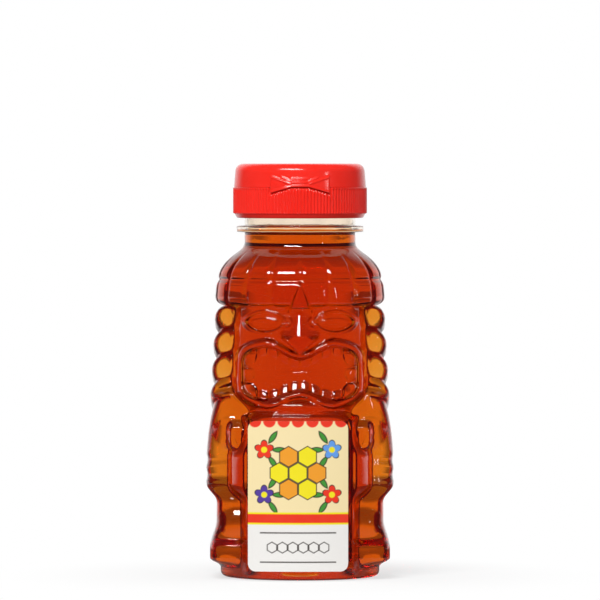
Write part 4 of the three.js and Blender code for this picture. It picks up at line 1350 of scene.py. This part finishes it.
def make_floor():
    """White floor: matt round the object, where its shadow lies, running out into even white."""
    mesh = bpy.data.meshes.new("studio_floor")
    corners = [(-1, -1), (1, -1), (1, 1), (-1, 1)]
    points = [(x * FLOOR_REACH, y * FLOOR_REACH, -FLOOR_DROP) for x, y in corners]
    mesh.from_pydata(points, [], [(0, 1, 2, 3)])
    floor = add_object("studio_floor", mesh)
    material, tree, shader = principled("white_floor", (0.93, 0.93, 0.93), 0.7)
    set_inputs(shader, {"Specular IOR Level": 0})
    position = tree.nodes.new("ShaderNodeNewGeometry").outputs["Position"]
    length = add_node(tree, "VectorMath", {}, {0: position})
    length.operation = "LENGTH"
    distance = length.outputs["Value"]
    reflected = fade_to_white(tree, parts_of(tree, position)["Y"], *REFLECTED_FLOOR)
    level = level_by_ray(tree, reflected, fade_to_white(tree, distance, *FLOOR_THROUGH))
    white = add_node(tree, "Emission", {}, {"Strength": level})
    fade = fade_to_white(tree, distance, *FLOOR_FADE)
    surfaces = {"Fac": fade, 1: shader.outputs["BSDF"], 2: white.outputs["Emission"]}
    mix = add_node(tree, "MixShader", {}, surfaces)
    tree.links.new(mix.outputs["Shader"], tree.nodes["Material Output"].inputs["Surface"])
    mesh.materials.append(material)


def backdrop_width(tree, across):
    """White behind the object and at its sides, with a darker gap between the two."""
    sideways = add_node(tree, "Math", {}, {0: across})
    sideways.operation = "ABSOLUTE"
    ramp = add_node(tree, "ValToRGB", {}, {"Fac": sideways.outputs["Value"]})
    stops = ramp.color_ramp.elements
    stops[0].position = BACKDROP_GAP[0]
    stops[0].color = grey(1)
    stops[1].position = BACKDROP_GAP[-1]
    for position in BACKDROP_GAP[1:-1]:
        stops.new(position).color = grey(GAP_LEVEL)
    return ramp.outputs["Color"]


def make_world():
    world = bpy.data.worlds.new("white_studio")
    scene.world = world
    world.use_nodes = True
    tree = world.node_tree
    parts = parts_of(tree, tree.nodes.new("ShaderNodeTexCoord").outputs["Generated"])
    reflected = fade_to_white(tree, parts["Y"], *REFLECTED_BACKDROP)
    rise = fade_to_white(tree, parts["Z"], *BACKDROP_RISE)
    seen_through = add_node(tree, "Math", {}, {0: rise, 1: backdrop_width(tree, parts["X"])})
    seen_through.operation = "MULTIPLY"
    background = tree.nodes["Background"]
    set_inputs(background, {"Color": (1, 1, 1, 1)})
    level = level_by_ray(tree, reflected, seen_through.outputs["Value"])
    tree.links.new(level, background.inputs["Strength"])


def add_lamp(name, azimuth, elevation, distance, width, height, power):
    """An area lamp aimed at the object; azimuth runs from the front towards +X."""
    turn = math.radians(azimuth)
    rise = math.radians(elevation)
    towards = Vector((math.sin(turn) * math.cos(rise), -math.cos(turn) * math.cos(rise), math.sin(rise)))
    data = bpy.data.lights.new(name, "AREA")
    data.shape = "RECTANGLE"
    data.size = width
    data.size_y = height
    data.energy = power
    lamp = add_object(name, data)
    lamp.location = LAMP_AIM + towards * distance
    lamp.rotation_euler = towards.to_track_quat("Z", "Y").to_euler()


def make_camera():
    data = bpy.data.cameras.new("camera")
    data.lens = CAMERA_LENS
    data.sensor_width = CAMERA_SENSOR
    camera = add_object("camera", data)
    camera.location = CAMERA_PLACE
    camera.rotation_euler = (CAMERA_AIM - CAMERA_PLACE).to_track_quat("-Z", "Y").to_euler()
    scene.camera = camera


def build():
    red = red_plastic()
    shell, filling = bottle_and_honey()
    walls = [
        clear_wall("clear_pet", WALL_TINT, PET_IOR),
        clear_wall("wetted_pet", WALL_TINT, PET_IOR_IN_HONEY),
        # Ring and thread, tinted with a painted reflection of the red cap
        clear_wall("neck_pet_painted_reflection", NECK_PAINTED_REFLECTION_TINT, PET_IOR),
    ]
    add_piece(shell, walls, "bottle", "bottle")
    add_piece(filling, [honey_material()], "bottle", "honey")
    add_piece(label_mesh(), [label_material()], "bottle", "label")
    add_piece(liner_mesh(), [liner_material()], "liner", "liner")
    add_piece(cap_mesh(), [red], "cap", "cap_base")
    add_piece(lid_mesh(), [red], "lid", "flip_lid")
    strap = add_piece(strap_mesh(), [red], None, "living_hinge")
    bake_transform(strap)


build()
make_floor()
make_world()
add_lamp("key_softbox", azimuth=-18, elevation=42, distance=1.0, width=0.56, height=0.18, power=8.6)
add_lamp("right_strip", azimuth=48, elevation=9, distance=1.0, width=0.02, height=0.2, power=0.3)
make_camera()
scene.view_settings.view_transform = "Standard"
scene.cycles.max_bounces = BOUNCES
scene.cycles.transmission_bounces = BOUNCES
scene.cycles.glossy_bounces = BOUNCES
